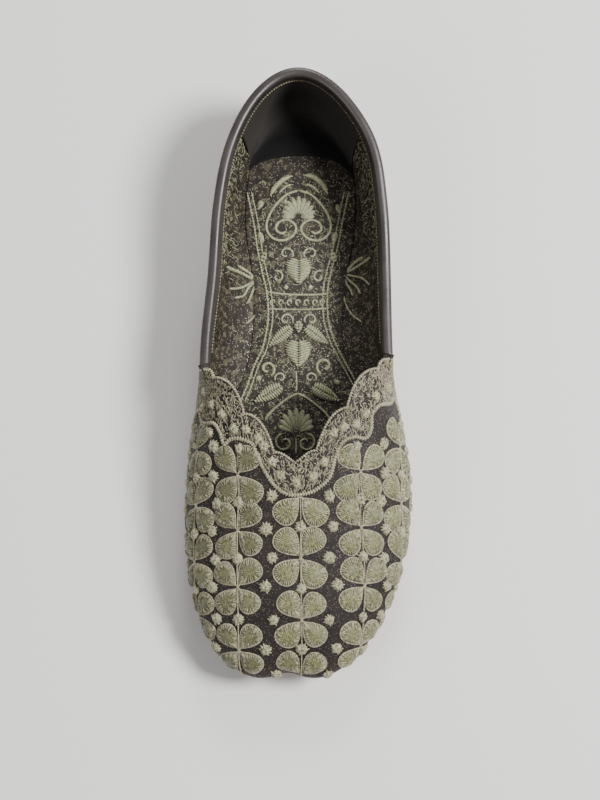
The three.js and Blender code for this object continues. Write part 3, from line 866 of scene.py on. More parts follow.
def coverPiece():
    # the outer face up and the inner face down, one ply apart, with a row of quads along each end
    gap = coverGrid["endGap"]
    angle = np.linspace(shoulders[0] + gap, shoulders[1] - gap, coverGrid["turns"])
    share = np.linspace(0, 1, coverGrid["ups"])[:, None]
    up = coverGrid["foot"] + (coverEdge(angle) - coverGrid["foot"]) * share
    rows, cols = up.shape
    point = np.concatenate([shell(angle, up, coverTop), shell(angle, up, last["skinFit"])[::-1]])
    k = np.arange(rows - 1)
    end = stack(k, k + 1, 2 * rows - 2 - k, 2 * rows - 1 - k) * cols
    faces = [gridFaces(2 * rows, cols, closeRows=True), end[:, ::-1], end + cols - 1]
    return outwardPiece("vamp_cloth", point, faces, groundCloth)


finishPiece(coverPiece(), "vamp_cover", "vamp_cover")

# Collar binding: a leather strip rolled over the topline from shoulder to shoulder
bindingGrid = dict(turns=440, roll=9, ply=0.7, tuck=0.085, thinEnd=0.12)


def bindingPiece():
    # one section carried along the topline: (aside, up) from the middle of the wall and from its top.
    # Its ends thin down softly over the tuck, under the vamp's edge.
    half, depth = last["wall"] / 2, last["bindingDepth"]
    slot, face = half + last["fit"], half + last["fit"] + bindingGrid["ply"]
    top, turn = last["fit"] + last["bindingPly"], np.linspace(0, math.pi, bindingGrid["roll"])
    # the rolled outside, then the slot that the wall sits in
    side = np.array([[slot + 0.1, -depth], [face - 0.1, -depth + 0.15], [face, -depth + 0.6],
                     [face, -depth / 2]])
    roll = stack(face * np.cos(turn), top * np.sin(turn))
    inside = np.array([[-slot, -depth], [-slot, 0.0], [-half, last["fit"]], [half, last["fit"]],
                       [slot, 0.0]])
    section = np.concatenate([side, roll, side[::-1] * [-1, 1], inside])
    tuck, thinEnd = bindingGrid["tuck"], bindingGrid["thinEnd"]
    first, final = shoulders[1] - tuck, 2 * math.pi + shoulders[0] + tuck
    angle = np.linspace(first, final, bindingGrid["turns"])[:, None]
    thin = thinEnd + (1 - thinEnd) * soft(np.clip(np.minimum(angle - first, final - angle) / tuck, 0, 1))
    angle = wrapped(angle)
    rim = surface(angle, 1.0)
    rise = unit(rim - surface(angle, 1 - rimStep))
    out = np.abs(section[:, 0])
    aside = np.sign(section[:, 0]) * (np.minimum(out, half) + thin * np.maximum(out - half, 0))
    upward = section[:, 1] * np.where(section[:, 1] > 0, thin, 1)
    point = rim + outward(angle, 1.0) * (aside[..., None] - half) + rise * upward[..., None]
    return outwardPiece("collar_roll", point, tubeFaces(*point.shape[:2]), bindingLeather)


finishPiece(bindingPiece(), "collar_binding", "collar_binding")
print("stage: upper, vamp cover and binding")

# Embroidery on the vamp. Places read off the photo are in its pixels.


def finder(points, first, second):
    # from a pixel to the two numbers of a grid of surface points: the nearest one, then one linear step
    spots = seen(points)
    slopeA, slopeB = np.gradient(spots, axis=0), np.gradient(spots, axis=1)
    stepA, stepB = first[1] - first[0], second[1] - second[0]

    def find(pixels):
        # the step to a pixel solves its distance as so much of one slope and so much of the other
        flat = np.asarray(pixels, float).reshape(-1, 2)
        near = np.array([np.argmin(np.sum((spots - one) ** 2, -1)) for one in flat])
        i, j = np.unravel_index(near, spots.shape[:2])
        a, b, rest = slopeA[i, j], slopeB[i, j], flat - spots[i, j]
        det = a[:, 0] * b[:, 1] - a[:, 1] * b[:, 0]
        det = np.where(np.abs(det) < 1e-3, 1e9, det)
        da = (rest[:, 0] * b[:, 1] - rest[:, 1] * b[:, 0]) / det
        db = (a[:, 0] * rest[:, 1] - a[:, 1] * rest[:, 0]) / det
        return stack(first[i] + np.clip(da, -1, 1) * stepA, second[j] + np.clip(db, -1, 1) * stepB)
    return find


acrossGrid, aheadGrid = np.arange(-62, 63, 1.0), np.arange(-8, 124, 1.0)
vampAt = finder(raised(acrossGrid[:, None], aheadGrid, 0.0), acrossGrid, aheadGrid)


def spline(points, count, closed=False):
    # an even run along a smooth curve through the points, by cubic pieces
    pts = np.asarray(points, float)
    ends = (pts[-1:], pts[:2]) if closed else (2 * pts[:1] - pts[1:2], 2 * pts[-1:] - pts[-2:-1])
    p = np.concatenate([ends[0], pts, ends[1]])
    t = np.linspace(0, len(p) - 3, 16 * (len(p) - 3) + 1)
    i = np.minimum(t.astype(int), len(p) - 4)
    f = (t - i)[:, None]
    a, b, c, d = p[i], p[i + 1], p[i + 2], p[i + 3]
    fine = b + 0.5 * f * (c - a + f * (2 * a - 5 * b + 4 * c - d + f * (3 * (b - c) + d - a)))
    run = lengthAlong(fine)
    want = np.linspace(0, run[-1], count)
    return stack(*[np.interp(want, run, fine[:, k]) for k in range(pts.shape[1])])


def surfaceCord(angle, up, offset, width, height, beat=0.0, side=1):
    # a cord over points of the surface, tapered over its own width at both ends; with a beat of millimetres
    # it swells by three tenths of a sine, like close stitches
    point = shell(angle, up, offset)
    run = lengthAlong(point)
    swell = 1 + (0.3 * np.sin(2 * math.pi * run / beat) if beat else 0 * run)
    ends = np.clip(np.minimum(run, run[-1] - run) / width, 0.15, 1)
    normal = outward(angle, up) * side
    return tubes(point[None], normal[None], (width * swell * ends)[None], (height * swell * ends)[None])


petals = dict(
    length=11.6, width=9.3, start=1.4, slant=50.0, height=1.25, taper=1.0, fullest=0.77, middle=0.58,
    turns=44, rings=8, strokes=34, strokeWidth=0.62, strokeReach=(0.42, 0.76), edgeOut=0.15, edgeWidth=0.6,
    edgeMiddle=0.55, edgeTurns=60, sizeJitter=0.05, turnJitter=5.0, sideSize=0.94, small=0.7,
    borderGap=-1.6, borderMean=2.6, soleGap=0.03, shown=0.8, farthest=126.0, heart=7.8, tones=(0.55, 1.0),
    medialPaintedShade=0.6,
)
petalMiddle = np.array([petals["middle"], 0.0])
# flower centres down each column
flowers = dict(
    middle=[(300.5, 496), (300.7, 557.5), (301.5, 620), (302, 677)],
    medial=[(237.7, 474.5), (237.7, 530), (237.7, 587), (239, 650)],
    lateral=[(360.5, 471.5), (361, 527.5), (364.4, 585.4), (360.5, 645.5)],
)
flowerAt = {name: vampAt(pixels) for name, pixels in flowers.items()}
# the last one's lower petals are off the toe, so its place follows from the two before it
flowerAt["middle"][-1] = 2 * flowerAt["middle"][-2] - flowerAt["middle"][-3]
columnPitch, footPitch = 21.0, 44.1  # from a side column to the one on the edge, and to the one by the sole


def outerColumn(inner, out, phase):
    # the next column outward: half a flower out of step with its neighbour
    q, p = inner.T
    step = np.diff(p).mean()
    ahead = np.concatenate([[p[0] - step], p, [p[-1] + step]])
    at = (ahead[:-1] + ahead[1:]) / 2 if phase else ahead
    return stack(np.interp(at, p, q) + out, at)


for name, side in (("medial", -1), ("lateral", 1)):
    flowerAt[name + "Edge"] = outerColumn(flowerAt[name], side * columnPitch, True)
    flowerAt[name + "Foot"] = outerColumn(flowerAt[name], side * footPitch, False)


# the border's arches, from each rear edge of the vamp to the tip under the throat
borderMedial = [(194, 432), (203, 423), (213, 423), (220, 432), (224, 444), (231, 439), (241, 439),
                (252, 444), (257, 456), (263, 468), (275, 486), (297, 495)]
borderLateral = [(297, 495), (317, 489), (330, 476), (335, 458), (343, 442), (355, 437), (366, 438),
                 (371, 428), (372, 414), (380, 405), (389, 404), (399, 410)]
# the embroidered band down the vamp's rear edges: its pace is millimetres to one radian there
band = dict(width=11.0, pace=62.0, foot=0.02, highest=0.62, apart=0.03)


def borderRun():
    # the border as (angle, up) from one rear edge over the arches to the other
    spots = vampAt(borderMedial[:-1] + borderLateral)
    angle, up = onVamp(spots[:, 0], spots[:, 1])
    order = np.argsort(angle)
    angle, up = angle[order], up[order]
    ends = [s - math.copysign(1, s) * band["width"] / band["pace"] for s in shoulders]
    inside = (angle > ends[0] + band["apart"]) & (angle < ends[1] - band["apart"])
    angle, up = angle[inside], up[inside]
    foot, highest = band["foot"], band["highest"]
    return (np.concatenate([[ends[0]] * 2, angle, [ends[1]] * 2]),
            np.concatenate([[foot, min(up[0], highest)], up, [min(up[-1], highest), foot]]))


borderAngle, borderUp = borderRun()


def borderLevel(angle):
    # how far up each rib the border crosses it, straight between its points
    return np.interp(angle, borderAngle[1:-1], borderUp[1:-1], left=-1, right=-1)


def belowBorder(q, p):
    # how many millimetres a pattern point lies below the border of the throat, along its rib
    angle, up = onVamp(q, p)
    return (borderLevel(angle) - up) * ribPace(angle)


def petalOutline(turn):
    # from the tip: along the axis by one minus the cosine, across by the sine times the half angle's sine
    # to a power
    across = np.sin(turn) * np.abs(np.sin(turn / 2)) ** petals["taper"]
    return stack(0.5 * (1 - np.cos(turn)), 0.5 * across / petals["fullest"])


def petalPlaces():
    # every petal as (centre across, centre ahead, direction, size), without those under the throat's border
    rows, slant = [], math.radians(petals["slant"])
    for name, centres in flowerAt.items():
        for q, p in centres:
            for sideQ in (-1, 1):
                for sideP in (-1, 1):
                    rows.append((q, p, math.atan2(sideP * math.sin(slant), sideQ * math.cos(slant)),
                                 1.0 if name == "middle" else petals["sideSize"]))
    rows = np.array(rows)
    count = len(rows)
    turn = rows[:, 2] + np.radians(petals["turnJitter"]) * rng.uniform(-1, 1, count)
    size = rows[:, 3] * (1 + petals["sizeJitter"] * rng.uniform(-1, 1, count))
    local = petalOutline(np.linspace(0.6, 2 * math.pi - 0.6, 14))  # all but the pointed end

    def fits(size):
        # whether a petal of that size lies below the border and above the sole, and not off the toe
        size = size[:, None]
        reach = petals["start"] + local[:, 0] * petals["length"] * size
        side = local[:, 1] * petals["width"] * size
        c, s = np.cos(turn)[:, None], np.sin(turn)[:, None]
        q, p = rows[:, :1] + c * reach - s * side, rows[:, 1:2] + s * reach + c * side
        _, up = onVamp(q, p)
        below = belowBorder(q, p)
        offToe = (p.mean(1) > petals["farthest"]) & (np.abs(q.mean(1)) < columnPitch / 2)
        return ((below.min(1) > petals["borderGap"]) & (below.mean(1) > petals["borderMean"]) & ~offToe
                & (np.mean(up > petals["soleGap"], 1) > petals["shown"]))
    size = np.where(fits(size), size, size * petals["small"])
    keep = fits(size)
    return rows[keep, 0], rows[keep, 1], turn[keep], size[keep]


petalQ, petalP, petalTurn, petalSize = petalPlaces()
petalToneAndShade = rng.uniform(*petals["tones"], len(petalQ))
# the petals of the medial columns are set darker: a painted shade on the side of the shoe that the key lamp
# lights least
petalToneAndShade = petalToneAndShade - np.where(petalQ < -columnPitch / 2, petals["medialPaintedShade"], 0)
petalHearts = stack(petalQ, petalP) + petals["heart"] * stack(np.cos(petalTurn), np.sin(petalTurn))


def petalPoint(local, rise):
    # local (along, across) of each petal's own length and width, turned its way and laid on the vamp
    reach = petals["start"] + local[..., 0] * petals["length"] * petalSize[:, None]
    side = local[..., 1] * petals["width"] * petalSize[:, None]
    c, s = np.cos(petalTurn)[:, None], np.sin(petalTurn)[:, None]
    angle, up = onVamp(petalQ[:, None] + reach * c - side * s, petalP[:, None] + reach * s + side * c)
    return angle, up, shell(angle, up, coverTop + rise)


def petalRise(share):
    # a petal's height: one minus the cube of the share from its middle to its outline
    return petals["height"] * (1 - share ** 3.0)


def petalFills():
    # rings from each petal's middle to its outline, raised by petalRise, with the rim and a pole sunk in
    turns, rings, count = petals["turns"], petals["rings"], len(petalQ)
    turn = np.linspace(0, 2 * math.pi, turns, endpoint=False)
    share = np.sin(np.linspace(0, math.pi / 2, rings + 1)[1:])[:, None]
    ring = petalMiddle + share[..., None] * (petalOutline(turn) - petalMiddle)
    local = np.concatenate([ring.reshape(-1, 2), [petalMiddle, petalMiddle]])
    rise = np.concatenate([(petalRise(share) + 0 * turn).ravel(), [petals["height"]], [-0.5]])
    rise[(rings - 1) * turns:rings * turns] = -0.1
    _, _, point = petalPoint(local[None], rise * (0.9 + 0.2 * petalToneAndShade[:, None]))
    faces = [repeated(f, count, len(local)) for f in domeFaces(turns, rings)]
    uv = np.broadcast_to(stack(local @ [0.5, 0.86], local[:, 1]), (count, len(local), 2))
    tone = np.repeat(petalToneAndShade, len(local))
    threadPiece("petal_fills", "vamp_cover", (point, faces, uv), petalThread, tone)


def petalStrokes():
    # satin stitches from the edge of each petal in toward its middle, of uneven length and tone
    n, count = petals["strokes"], len(petalQ)
    turn = (np.arange(n) + rng.uniform(0.3, 0.7, (count, n))) * 2 * math.pi / n
    reach = rng.uniform(*petals["strokeReach"], (count, n))
    t = np.linspace(0, 1, 4)
    share = 1.0 - t * (1 - reach[..., None])
    local = petalMiddle + share[..., None] * (petalOutline(turn)[:, :, None] - petalMiddle)
    rise = petalRise(share) + 0.2 * np.sin(math.pi * (0.15 + 0.85 * t)) + 0.1
    angle, up, point = petalPoint(local.reshape(count, -1, 2), rise.reshape(count, -1))
    width = petals["strokeWidth"] * np.array([0.85, 1.0, 0.8, 0.25])
    point, normal = point.reshape(-1, 4, 3), outward(angle, up).reshape(-1, 4, 3)
    strokes = tubes(point, normal, width, 0.5 * width + 0.15, sides=5)
    # the strokes' tones follow their petals', the medial columns' painted shade included, spread at random
    tone = np.clip(0.1 + 0.65 * petalToneAndShade[:, None] + rng.uniform(-0.35, 0.4, (count, n)), 0, 1)
    threadPiece("petal_stitches", "vamp_cover", strokes, rimThread, np.repeat(tone.ravel(), strokeCorners))


def petalEdges():
    # a fine light cord round the outside of each ridge, and one from its pointed end over the flower's
    # centre
    n, middle = petals["edgeTurns"], np.array([petals["edgeMiddle"], 0])
    turn = np.linspace(0, 2 * math.pi, n, endpoint=False) + 0.05
    outline = (petalOutline(turn) - middle) * (1 + 2 * petals["edgeOut"] / petals["width"]) + middle
    angle, up, point = petalPoint(outline[None], 0.15)
    edges = tubes(point, outward(angle, up), petals["edgeWidth"], 0.6, sides=5, closed=True)
    inner = stack(np.linspace(-petals["start"] / petals["length"], 0.12, 6), 0.0)
    angle, up, point = petalPoint(inner[None], 0.2)
    both = joined([edges, tubes(point, outward(angle, up), 0.7, 0.6, sides=5)])
    threadPiece("petal_edges", "vamp_cover", both, cordThread, 1.0)


petalFills()
petalEdges()
petalStrokes()
print("stage: petals", len(petalQ))

padShape = dict(turns=26, rings=4, rise=0.7)


def padMesh(outline, middle, rise, place):
    # a low dome over each closed outline: rings from the middle out, closed by a pole underneath
    copies, turns = outline.shape[:2]
    share = np.sin(np.linspace(0, math.pi / 2, padShape["rings"] + 1)[1:])
    ring = middle[:, None, None] + share[None, :, None, None] * (outline[:, None] - middle[:, None, None])
    flat = np.concatenate([ring.reshape(copies, -1, 2), middle[:, None], middle[:, None]], 1)
    high = np.repeat(1 - share ** 3, turns)
    high[-turns:] = -0.15
    high = np.concatenate([high, [1.0, -0.6]]) * rise[:, None]
    faces = [repeated(f, copies, flat.shape[1]) for f in domeFaces(turns, padShape["rings"])]
    uv = flat @ np.array([[0.035, 0.0], [0.06, 0.04]])
    return place(flat, high).reshape(-1, 3), faces, uv.reshape(-1, 2)


# Rosettes: small stars of short stitches between the flowers and in the border of the throat
rosettes = dict(radius=2.75, small=2.3, strokes=13, width=0.95, rise=1.15, beside=11.4, core=0.8,
                coreRise=0.95, apart=4.5, borderGap=3.4, soleGap=0.06, petalGap=4.3)


def starStrokes(q, p, radius):
    # strokes from each centre outward, at uneven turns; each a short tapered tube
    n = rosettes["strokes"]
    turn = (np.arange(n) + rng.uniform(-0.25, 0.25, (len(q), n))) * 2 * math.pi / n
    reach = radius[:, None] * rng.uniform(0.75, 1.1, turn.shape)
    t = np.array([0.08, 0.4, 0.75, 1.0])
    sq = (q[:, None, None] + np.cos(turn)[..., None] * reach[..., None] * t).reshape(-1, 4)
    sp = (p[:, None, None] + np.sin(turn)[..., None] * reach[..., None] * t).reshape(-1, 4)
    rise = rosettes["rise"] * np.array([1.0, 0.9, 0.55, 0.0])
    angle, up = onVamp(sq, sp)
    wide, high = rosettes["width"] * np.array([1, 1.1, 0.9, 0.35]), 0.7 * np.array([1, 1, 0.8, 0.5])
    return tubes(shell(angle, up, coverTop + rise - 0.1), outward(angle, up), wide, high, sides=5)


def rosettePlaces():
    # beside each flower's centre and halfway to the next one, without those that are too near another
    # rosette, the border, the sole or a petal's heart
    found = []
    for name, centres in flowerAt.items():
        for k, (q, p) in enumerate(centres):
            for side in (-1, 1):
                found.append((q + side * rosettes["beside"], p))
            if k + 1 < len(centres):
                found.append(((q + centres[k + 1][0]) / 2, (p + centres[k + 1][1]) / 2))
    found = np.array(found)
    apart = np.linalg.norm(found[:, None] - found[None], axis=-1) + np.triu(np.full((len(found),) * 2, 1e9))
    found = found[np.min(apart, 1) > rosettes["apart"]]
    _, up = onVamp(found[:, 0], found[:, 1])
    fromPetal = np.linalg.norm(found[:, None] - petalHearts[None], axis=-1).min(1)
    return found[(belowBorder(found[:, 0], found[:, 1]) > rosettes["borderGap"]) & (up > rosettes["soleGap"])
                 & (fromPetal > rosettes["petalGap"])]


throatRosettes = [(234, 429), (246, 429.5), (258, 438), (272, 462), (280, 475), (296, 483), (313, 476),
                  (324, 462), (333, 433), (344, 427), (356, 424), (366, 413), (376, 396), (388, 388),
                  (212, 404), (222, 414), (205, 392), (239.5, 449), (357, 446), (210, 432), (264, 446),
                  (203, 408)]


def rosettePiece():
    # the stars, each with a low round pad in its middle
    stars = rosettePlaces()
    sizes = rosettes["radius"] * rng.uniform(0.9, 1.1, len(stars))
    smallStars = vampAt(throatRosettes)
    places = np.concatenate([stars, smallStars])
    sizes = np.concatenate([sizes, np.full(len(smallStars), rosettes["small"])])
    starMesh = starStrokes(*places.T, sizes)
    turn = np.linspace(0, 2 * math.pi, padShape["turns"], endpoint=False)
    outline = stack(np.cos(turn), np.sin(turn)) * (sizes * rosettes["core"])[:, None, None] + places[:, None]
    cores = padMesh(outline, places, np.full(len(places), rosettes["coreRise"]),
                    lambda flat, rise: raised(flat[..., 0], flat[..., 1], rise))
    tone = np.concatenate([strandTones(0.55, 1.0, starMesh, strokeCorners), np.full(len(cores[0]), 0.6)])
    threadPiece("rosettes", "vamp_cover", joined([starMesh, cores]), rimThread, tone)
    print("stage: rosettes", len(places))


rosettePiece()

# Cords: the scalloped edge, the border inside it, the stem down each column of flowers
cords = dict(edgeWidth=0.95, borderWidth=1.5, stemWidth=0.5, beat=1.1, stemBeat=0.7, steps=1500,
             rearSteps=400, stemSteps=420, rearInset=0.035, borderGap=0.5, soleGap=0.03)


def throatEdgeCord():
    # along the scalloped edge, a quarter of a millimetre inside it
    angle = np.linspace(shoulders[0] + 0.03, shoulders[1] - 0.03, cords["steps"])
    up = coverEdge(angle) - 0.25 / ribPace(angle)
    return surfaceCord(angle, up, coverTop - 0.4, cords["edgeWidth"], 1.4, cords["beat"])


def rearEdgeCords():
    # one cord down each rear edge of the vamp
    made = []
    for side, shoulder in zip((-1, 1), shoulders):
        angle = np.full(cords["rearSteps"], shoulder - side * cords["rearInset"])
        up = np.linspace(coverGrid["foot"] + 0.01, coverEdge(angle[0]) - 0.01, cords["rearSteps"])
        made.append(surfaceCord(angle, up, coverTop - 0.1, cords["edgeWidth"], 1.1, cords["beat"]))
    return made


def stems():
    # a fine cord down each column through its flowers' centres and one step on, between border and sole
    made = []
    for centres in flowerAt.values():
        path = spline(np.concatenate([centres, [2 * centres[-1] - centres[-2]]]), cords["stemSteps"])
        angle, up = onVamp(path[:, 0], path[:, 1])
        keep = (belowBorder(path[:, 0], path[:, 1]) > cords["borderGap"]) & (up > cords["soleGap"])
        if np.sum(keep) >= 20:
            made.append(surfaceCord(angle[keep], up[keep], coverTop + 0.25, cords["stemWidth"], 0.9,
                                    cords["stemBeat"]))
    return made


def borderCord():
    # a smooth curve through the border's points
    spots = spline(stack(borderAngle, borderUp), cords["steps"])
    return surfaceCord(spots[:, 0], spots[:, 1], coverTop + 0.1, cords["borderWidth"], 1.5, cords["beat"])


threadPiece("vamp_cords", "vamp_cover", joined([throatEdgeCord(), borderCord()] + rearEdgeCords() + stems()),
            cordThread, 0.9)

# Scribbled stitches that fill the border of the throat; a place is kept by the share of its patch of
# surface in the thinning, so that they lie evenly
scribble = dict(count=2700, tries=9, length=2.3, width=0.42, margin=1.0, edgeGap=1.3, inset=0.035,
                thinning=62.0, bow=0.18, lift=0.35)


def scribbles():
    # bowed stitches at random places, turns and lengths between the border and the scalloped edge
    n = scribble["count"] * scribble["tries"]
    inset = scribble["inset"]
    angle, up = rng.uniform(shoulders[0] + inset, shoulders[1] - inset, n), rng.uniform(0.03, 1.15, n)
    pace = ribPace(angle)
    keep = ((up > borderLevel(angle) + scribble["margin"] / pace)
            & (up < coverEdge(angle) - scribble["edgeGap"] / pace)
            & (rng.uniform(0, 1, n) < turnWidth(angle, up) * pace / scribble["thinning"]))
    angle, up = angle[keep][:scribble["count"]], up[keep][:scribble["count"]]
    n = len(angle)
    turn, reach = rng.uniform(0, 2 * math.pi, n), scribble["length"] * rng.uniform(0.5, 1.2, n)
    pace = turnWidth(angle, up) / (2 * turnStep)
    bow = scribble["bow"] * stitchBow
    aside = (np.cos(turn)[:, None] * stitchRun - np.sin(turn)[:, None] * bow) * reach[:, None]
    rise = (np.sin(turn)[:, None] * stitchRun + np.cos(turn)[:, None] * bow) * reach[:, None]
    a = angle[:, None] + aside / pace[:, None]
    u = up[:, None] + rise / ribPace(angle)[:, None]
    lift = scribble["lift"] * stitchBow * rng.uniform(0.5, 1.3, (n, 1))
    return tubes(shell(a, u, coverTop + lift), outward(a, u), scribble["width"], 0.4, sides=4)


scribbleMesh = scribbles()
threadPiece("throat_stitches", "vamp_cover", scribbleMesh, cordThread,
            strandTones(0.0, 0.9, scribbleMesh, stitchCorners))
print("stage: cords and stitches")

# Heel patch: smooth leather down the inside of the heel and out over the back of the foot bed, darkening to
# near black over the bed as a painted shade where the heel's walls shadow it
heelPatch = dict(turns=90, wallSteps=34, seatSteps=24, topDepth=5.6, footUp=0.14, offset=0.7,
                 seatRise=0.45, ply=0.6, smooth=16, seatShadeStart=0.55, seatShadeRun=0.25)
patchSeams = [(247, 150), (355, 150)]  # the side seams
patchFront = [(243, 176), (252, 168), (268, 160), (300, 156), (330, 160), (346, 170), (353, 180)]

liningGrid = dict(firstTurn=1.45, turns=400, foot=0.02, ups=90)
liningStart = liningGrid["firstTurn"]
liningTurns = np.linspace(liningStart, 2 * math.pi - liningStart, liningGrid["turns"])
liningUps = np.linspace(liningGrid["foot"], 1.0, liningGrid["ups"])
liningAt = finder(shell(wrapped(liningTurns)[:, None], liningUps, -last["wall"]), liningTurns, liningUps)


def heelPatchPiece():
    # strips from under the binding down the wall and straight on to the front edge, their corner smoothed by
    # running means of five points; the back face lies one ply behind along the normal
    seams = liningAt(patchSeams)[:, 0]
    angle = wrapped(np.linspace(seams.min(), seams.max(), heelPatch["turns"]))
    topUp = 1 - heelPatch["topDepth"] / ribPace(angle)
    level = np.linspace(0, 1, heelPatch["wallSteps"])
    ups = topUp[:, None] * (1 - level) + heelPatch["footUp"] * level
    wall = shell(angle[:, None], ups, -last["wall"] - heelPatch["offset"])
    front = underPixel(spline(patchFront, heelPatch["turns"]), insoleTop)
    if (front[0, 0] < front[-1, 0]) != (wall[0, -1, 0] < wall[-1, -1, 0]):
        front = front[::-1]
    t = np.linspace(0, 1, heelPatch["seatSteps"] + 1)[1:, None]
    seat = wall[:, -1:, :2] * (1 - t) + front[:, None] * t
    height = insoleTop(seat[..., 0], seat[..., 1]) + heelPatch["seatRise"]
    path = np.concatenate([wall, stack(seat[..., 0], seat[..., 1], height)], 1)
    for _ in range(heelPatch["smooth"]):
        path[:, 2:-2] = (path[:, :-4] + path[:, 1:-3] + path[:, 2:-2] + path[:, 3:-1] + path[:, 4:]) / 5
    normal = unit(np.cross(np.gradient(path, axis=1), np.gradient(path, axis=0)))
    inward = np.where(normal[:, -1:, 2:] < 0, -1.0, 1.0)
    back = path - normal * inward * heelPatch["ply"]
    rows, cols = path.shape[:2]
    ring = np.concatenate([path, back[:, ::-1]], 1)
    k = np.arange(cols - 1)
    cap = stack(k, k + 1, 2 * cols - 2 - k, 2 * cols - 1 - k)
    faces = [gridFaces(rows, 2 * cols, closeCols=True), cap, (cap + (rows - 1) * 2 * cols)[:, ::-1]]
    # the tone rises from 0 to 1 partway along each strip toward its front edge, so the part over the foot
    # bed takes the near-black painted shade
    t = np.clip((np.arange(cols) - heelPatch["seatShadeStart"] * cols) / (heelPatch["seatShadeRun"] * cols), 0, 1)
    tone = np.broadcast_to(np.concatenate([t, t[::-1]]), (rows, 2 * cols))
    return outwardPiece("heel_patch", ring, faces, patchLeather, tone=tone)


finishPiece(heelPatchPiece(), "upper")

# Stitches along the lower edge of the binding, inside the opening
seam = dict(count=190, depth=5.4, run=0.62, width=0.55, endGap=0.05, samples=1200, bow=0.12)


def collarStitches():
    # each stitch covers its share of one even pitch along the topline, and bows off the leather by a half
    # sine
    first, final = shoulders[1] + seam["endGap"], 2 * math.pi + shoulders[0] - seam["endGap"]
    line = np.linspace(first, final, seam["samples"])
    run = lengthAlong(surface(wrapped(line), 1.0))
    starts = np.linspace(0, run[-1], seam["count"] + 1)[:-1]
    t = np.linspace(0, seam["run"], 4)
    angle = wrapped(np.interp(starts[:, None] + starts[1] * t, run, line))
    up = 1 - seam["depth"] / ribPace(angle)
    bow = seam["bow"] * np.sin(math.pi * t / seam["run"])
    offset = -last["wall"] - last["fit"] - bindingGrid["ply"] - 0.05 - bow
    return tubes(shell(angle, up, offset), -outward(angle, up), seam["width"], 0.4, sides=5)


threadPiece("collar_stitches", "collar_binding", collarStitches(), cordThread, 0.8)
print("stage: heel patch and collar stitches")

# Embroidery on the insole, placed by the photo's pixels: scrolls, leaves, palmettes and border lines
middleX = 298.5
insoleWork = dict(pixelsPerMm=2.4, step=0.28, fewest=10, lift=0.1)


def insoleSpots(pixels, rise):
    # the places under the pixels on the insole's top, raised
    plan = underPixel(pixels, insoleTop)
    return stack(plan[..., 0], plan[..., 1], insoleTop(plan[..., 0], plan[..., 1]) + rise)


def insoleCord(pixels, width, beat=0.8, deep=0.3):
    # a cord along a smooth curve through the pixels, swelling by the deep share of a sine at each beat
    length = lengthAlong(np.asarray(pixels, float))[-1] / insoleWork["pixelsPerMm"]
    count = int(max(insoleWork["fewest"], length / insoleWork["step"]))
    point = insoleSpots(spline(pixels, count), insoleWork["lift"])
    run = lengthAlong(point)
    ends = np.clip(np.minimum(run, run[-1] - run) / width, 0.3, 1)
    swell = (1 + deep * np.sin(2 * math.pi * run / beat)) * ends
    up = np.broadcast_to(up3, point.shape)
    return tubes(point[None], up[None], (width * swell)[None], (0.8 * width * swell)[None])


def spiral(centre, radius, start, turns, grow=0.22):
    # winds in toward the centre: the radius falls evenly with the turn; start is in degrees, and positive
    # turns run clockwise
    t = np.linspace(0, 1, 14)
    turn = np.radians(start) + t * turns * 2 * math.pi
    r = radius * (1 - t * (1 - grow))
    return stack(centre[0] + r * np.cos(turn), centre[1] + r * np.sin(turn))


def mirrored(pixels, x=middleX):
    # the same pixels on the other side of an upright line
    return [(2 * x - a, b) for a, b in np.asarray(pixels, float)]


scrollWidth, lineWidth = 1.15, 0.85
heartSide = [(298.5, 190.5), (311, 195), (323, 207), (330, 221), (330, 231), (324, 238.5), (314, 240.5),
             (305, 236.5), (301, 229), (304.5, 222.5), (312, 220), (319.5, 223.5), (321, 230),
             (315.5, 233.5), (310.5, 231)]
toeSide = [(296, 393), (305, 397), (316, 405), (326, 414), (330, 421)]
insoleLines = [
    (heartSide, scrollWidth), (mirrored(heartSide), scrollWidth),
    (toeSide, scrollWidth), (mirrored(toeSide, 297.5), scrollWidth),
    (spiral((284.5, 443), 10, -100, -1.15), scrollWidth), (spiral((305.5, 443), 10, -80, 1.15), scrollWidth),
    (spiral((311, 254), 7.5, 150, 0.95), lineWidth),
    (mirrored(spiral((311, 254), 7.5, 150, 0.95)), lineWidth),
    (spiral((319, 277), 6.5, -60, -1.0), lineWidth), (spiral((277.5, 277), 6.5, -120, 1.0), lineWidth),
    ([(266, 292), (282, 294), (298, 294.8), (314, 294.8), (328, 294)], lineWidth),
    ([(266, 309), (282, 309.4), (298, 309.6), (314, 309.4), (327, 308.6)], lineWidth * 0.8),
    (spiral((311, 320), 7, 160, 1.0), lineWidth), (mirrored(spiral((311, 320), 7, 160, 1.0)), lineWidth),
    (spiral((324.6, 366), 9.0, 110, 1.05), scrollWidth), (spiral((267, 369), 8.0, 60, -1.05), scrollWidth),
    (spiral((310.5, 378), 6.0, 30, -1.0), lineWidth), (spiral((280.5, 378), 6.0, 150, 1.0), lineWidth),
    ([(296, 455), (296, 446), (296, 437)], lineWidth),
    ([(296, 371), (296.5, 382), (296, 392)], lineWidth * 0.8),
    ([(270, 196), (275, 187), (284, 179), (292, 176)], 2.4),
    ([(303, 175), (313, 177), (322, 184), (328, 194)], 2.4),
    ([(279, 193), (285, 187), (292, 184.5)], 1.1), ([(305, 184), (313, 187), (319, 193)], 1.1),
]
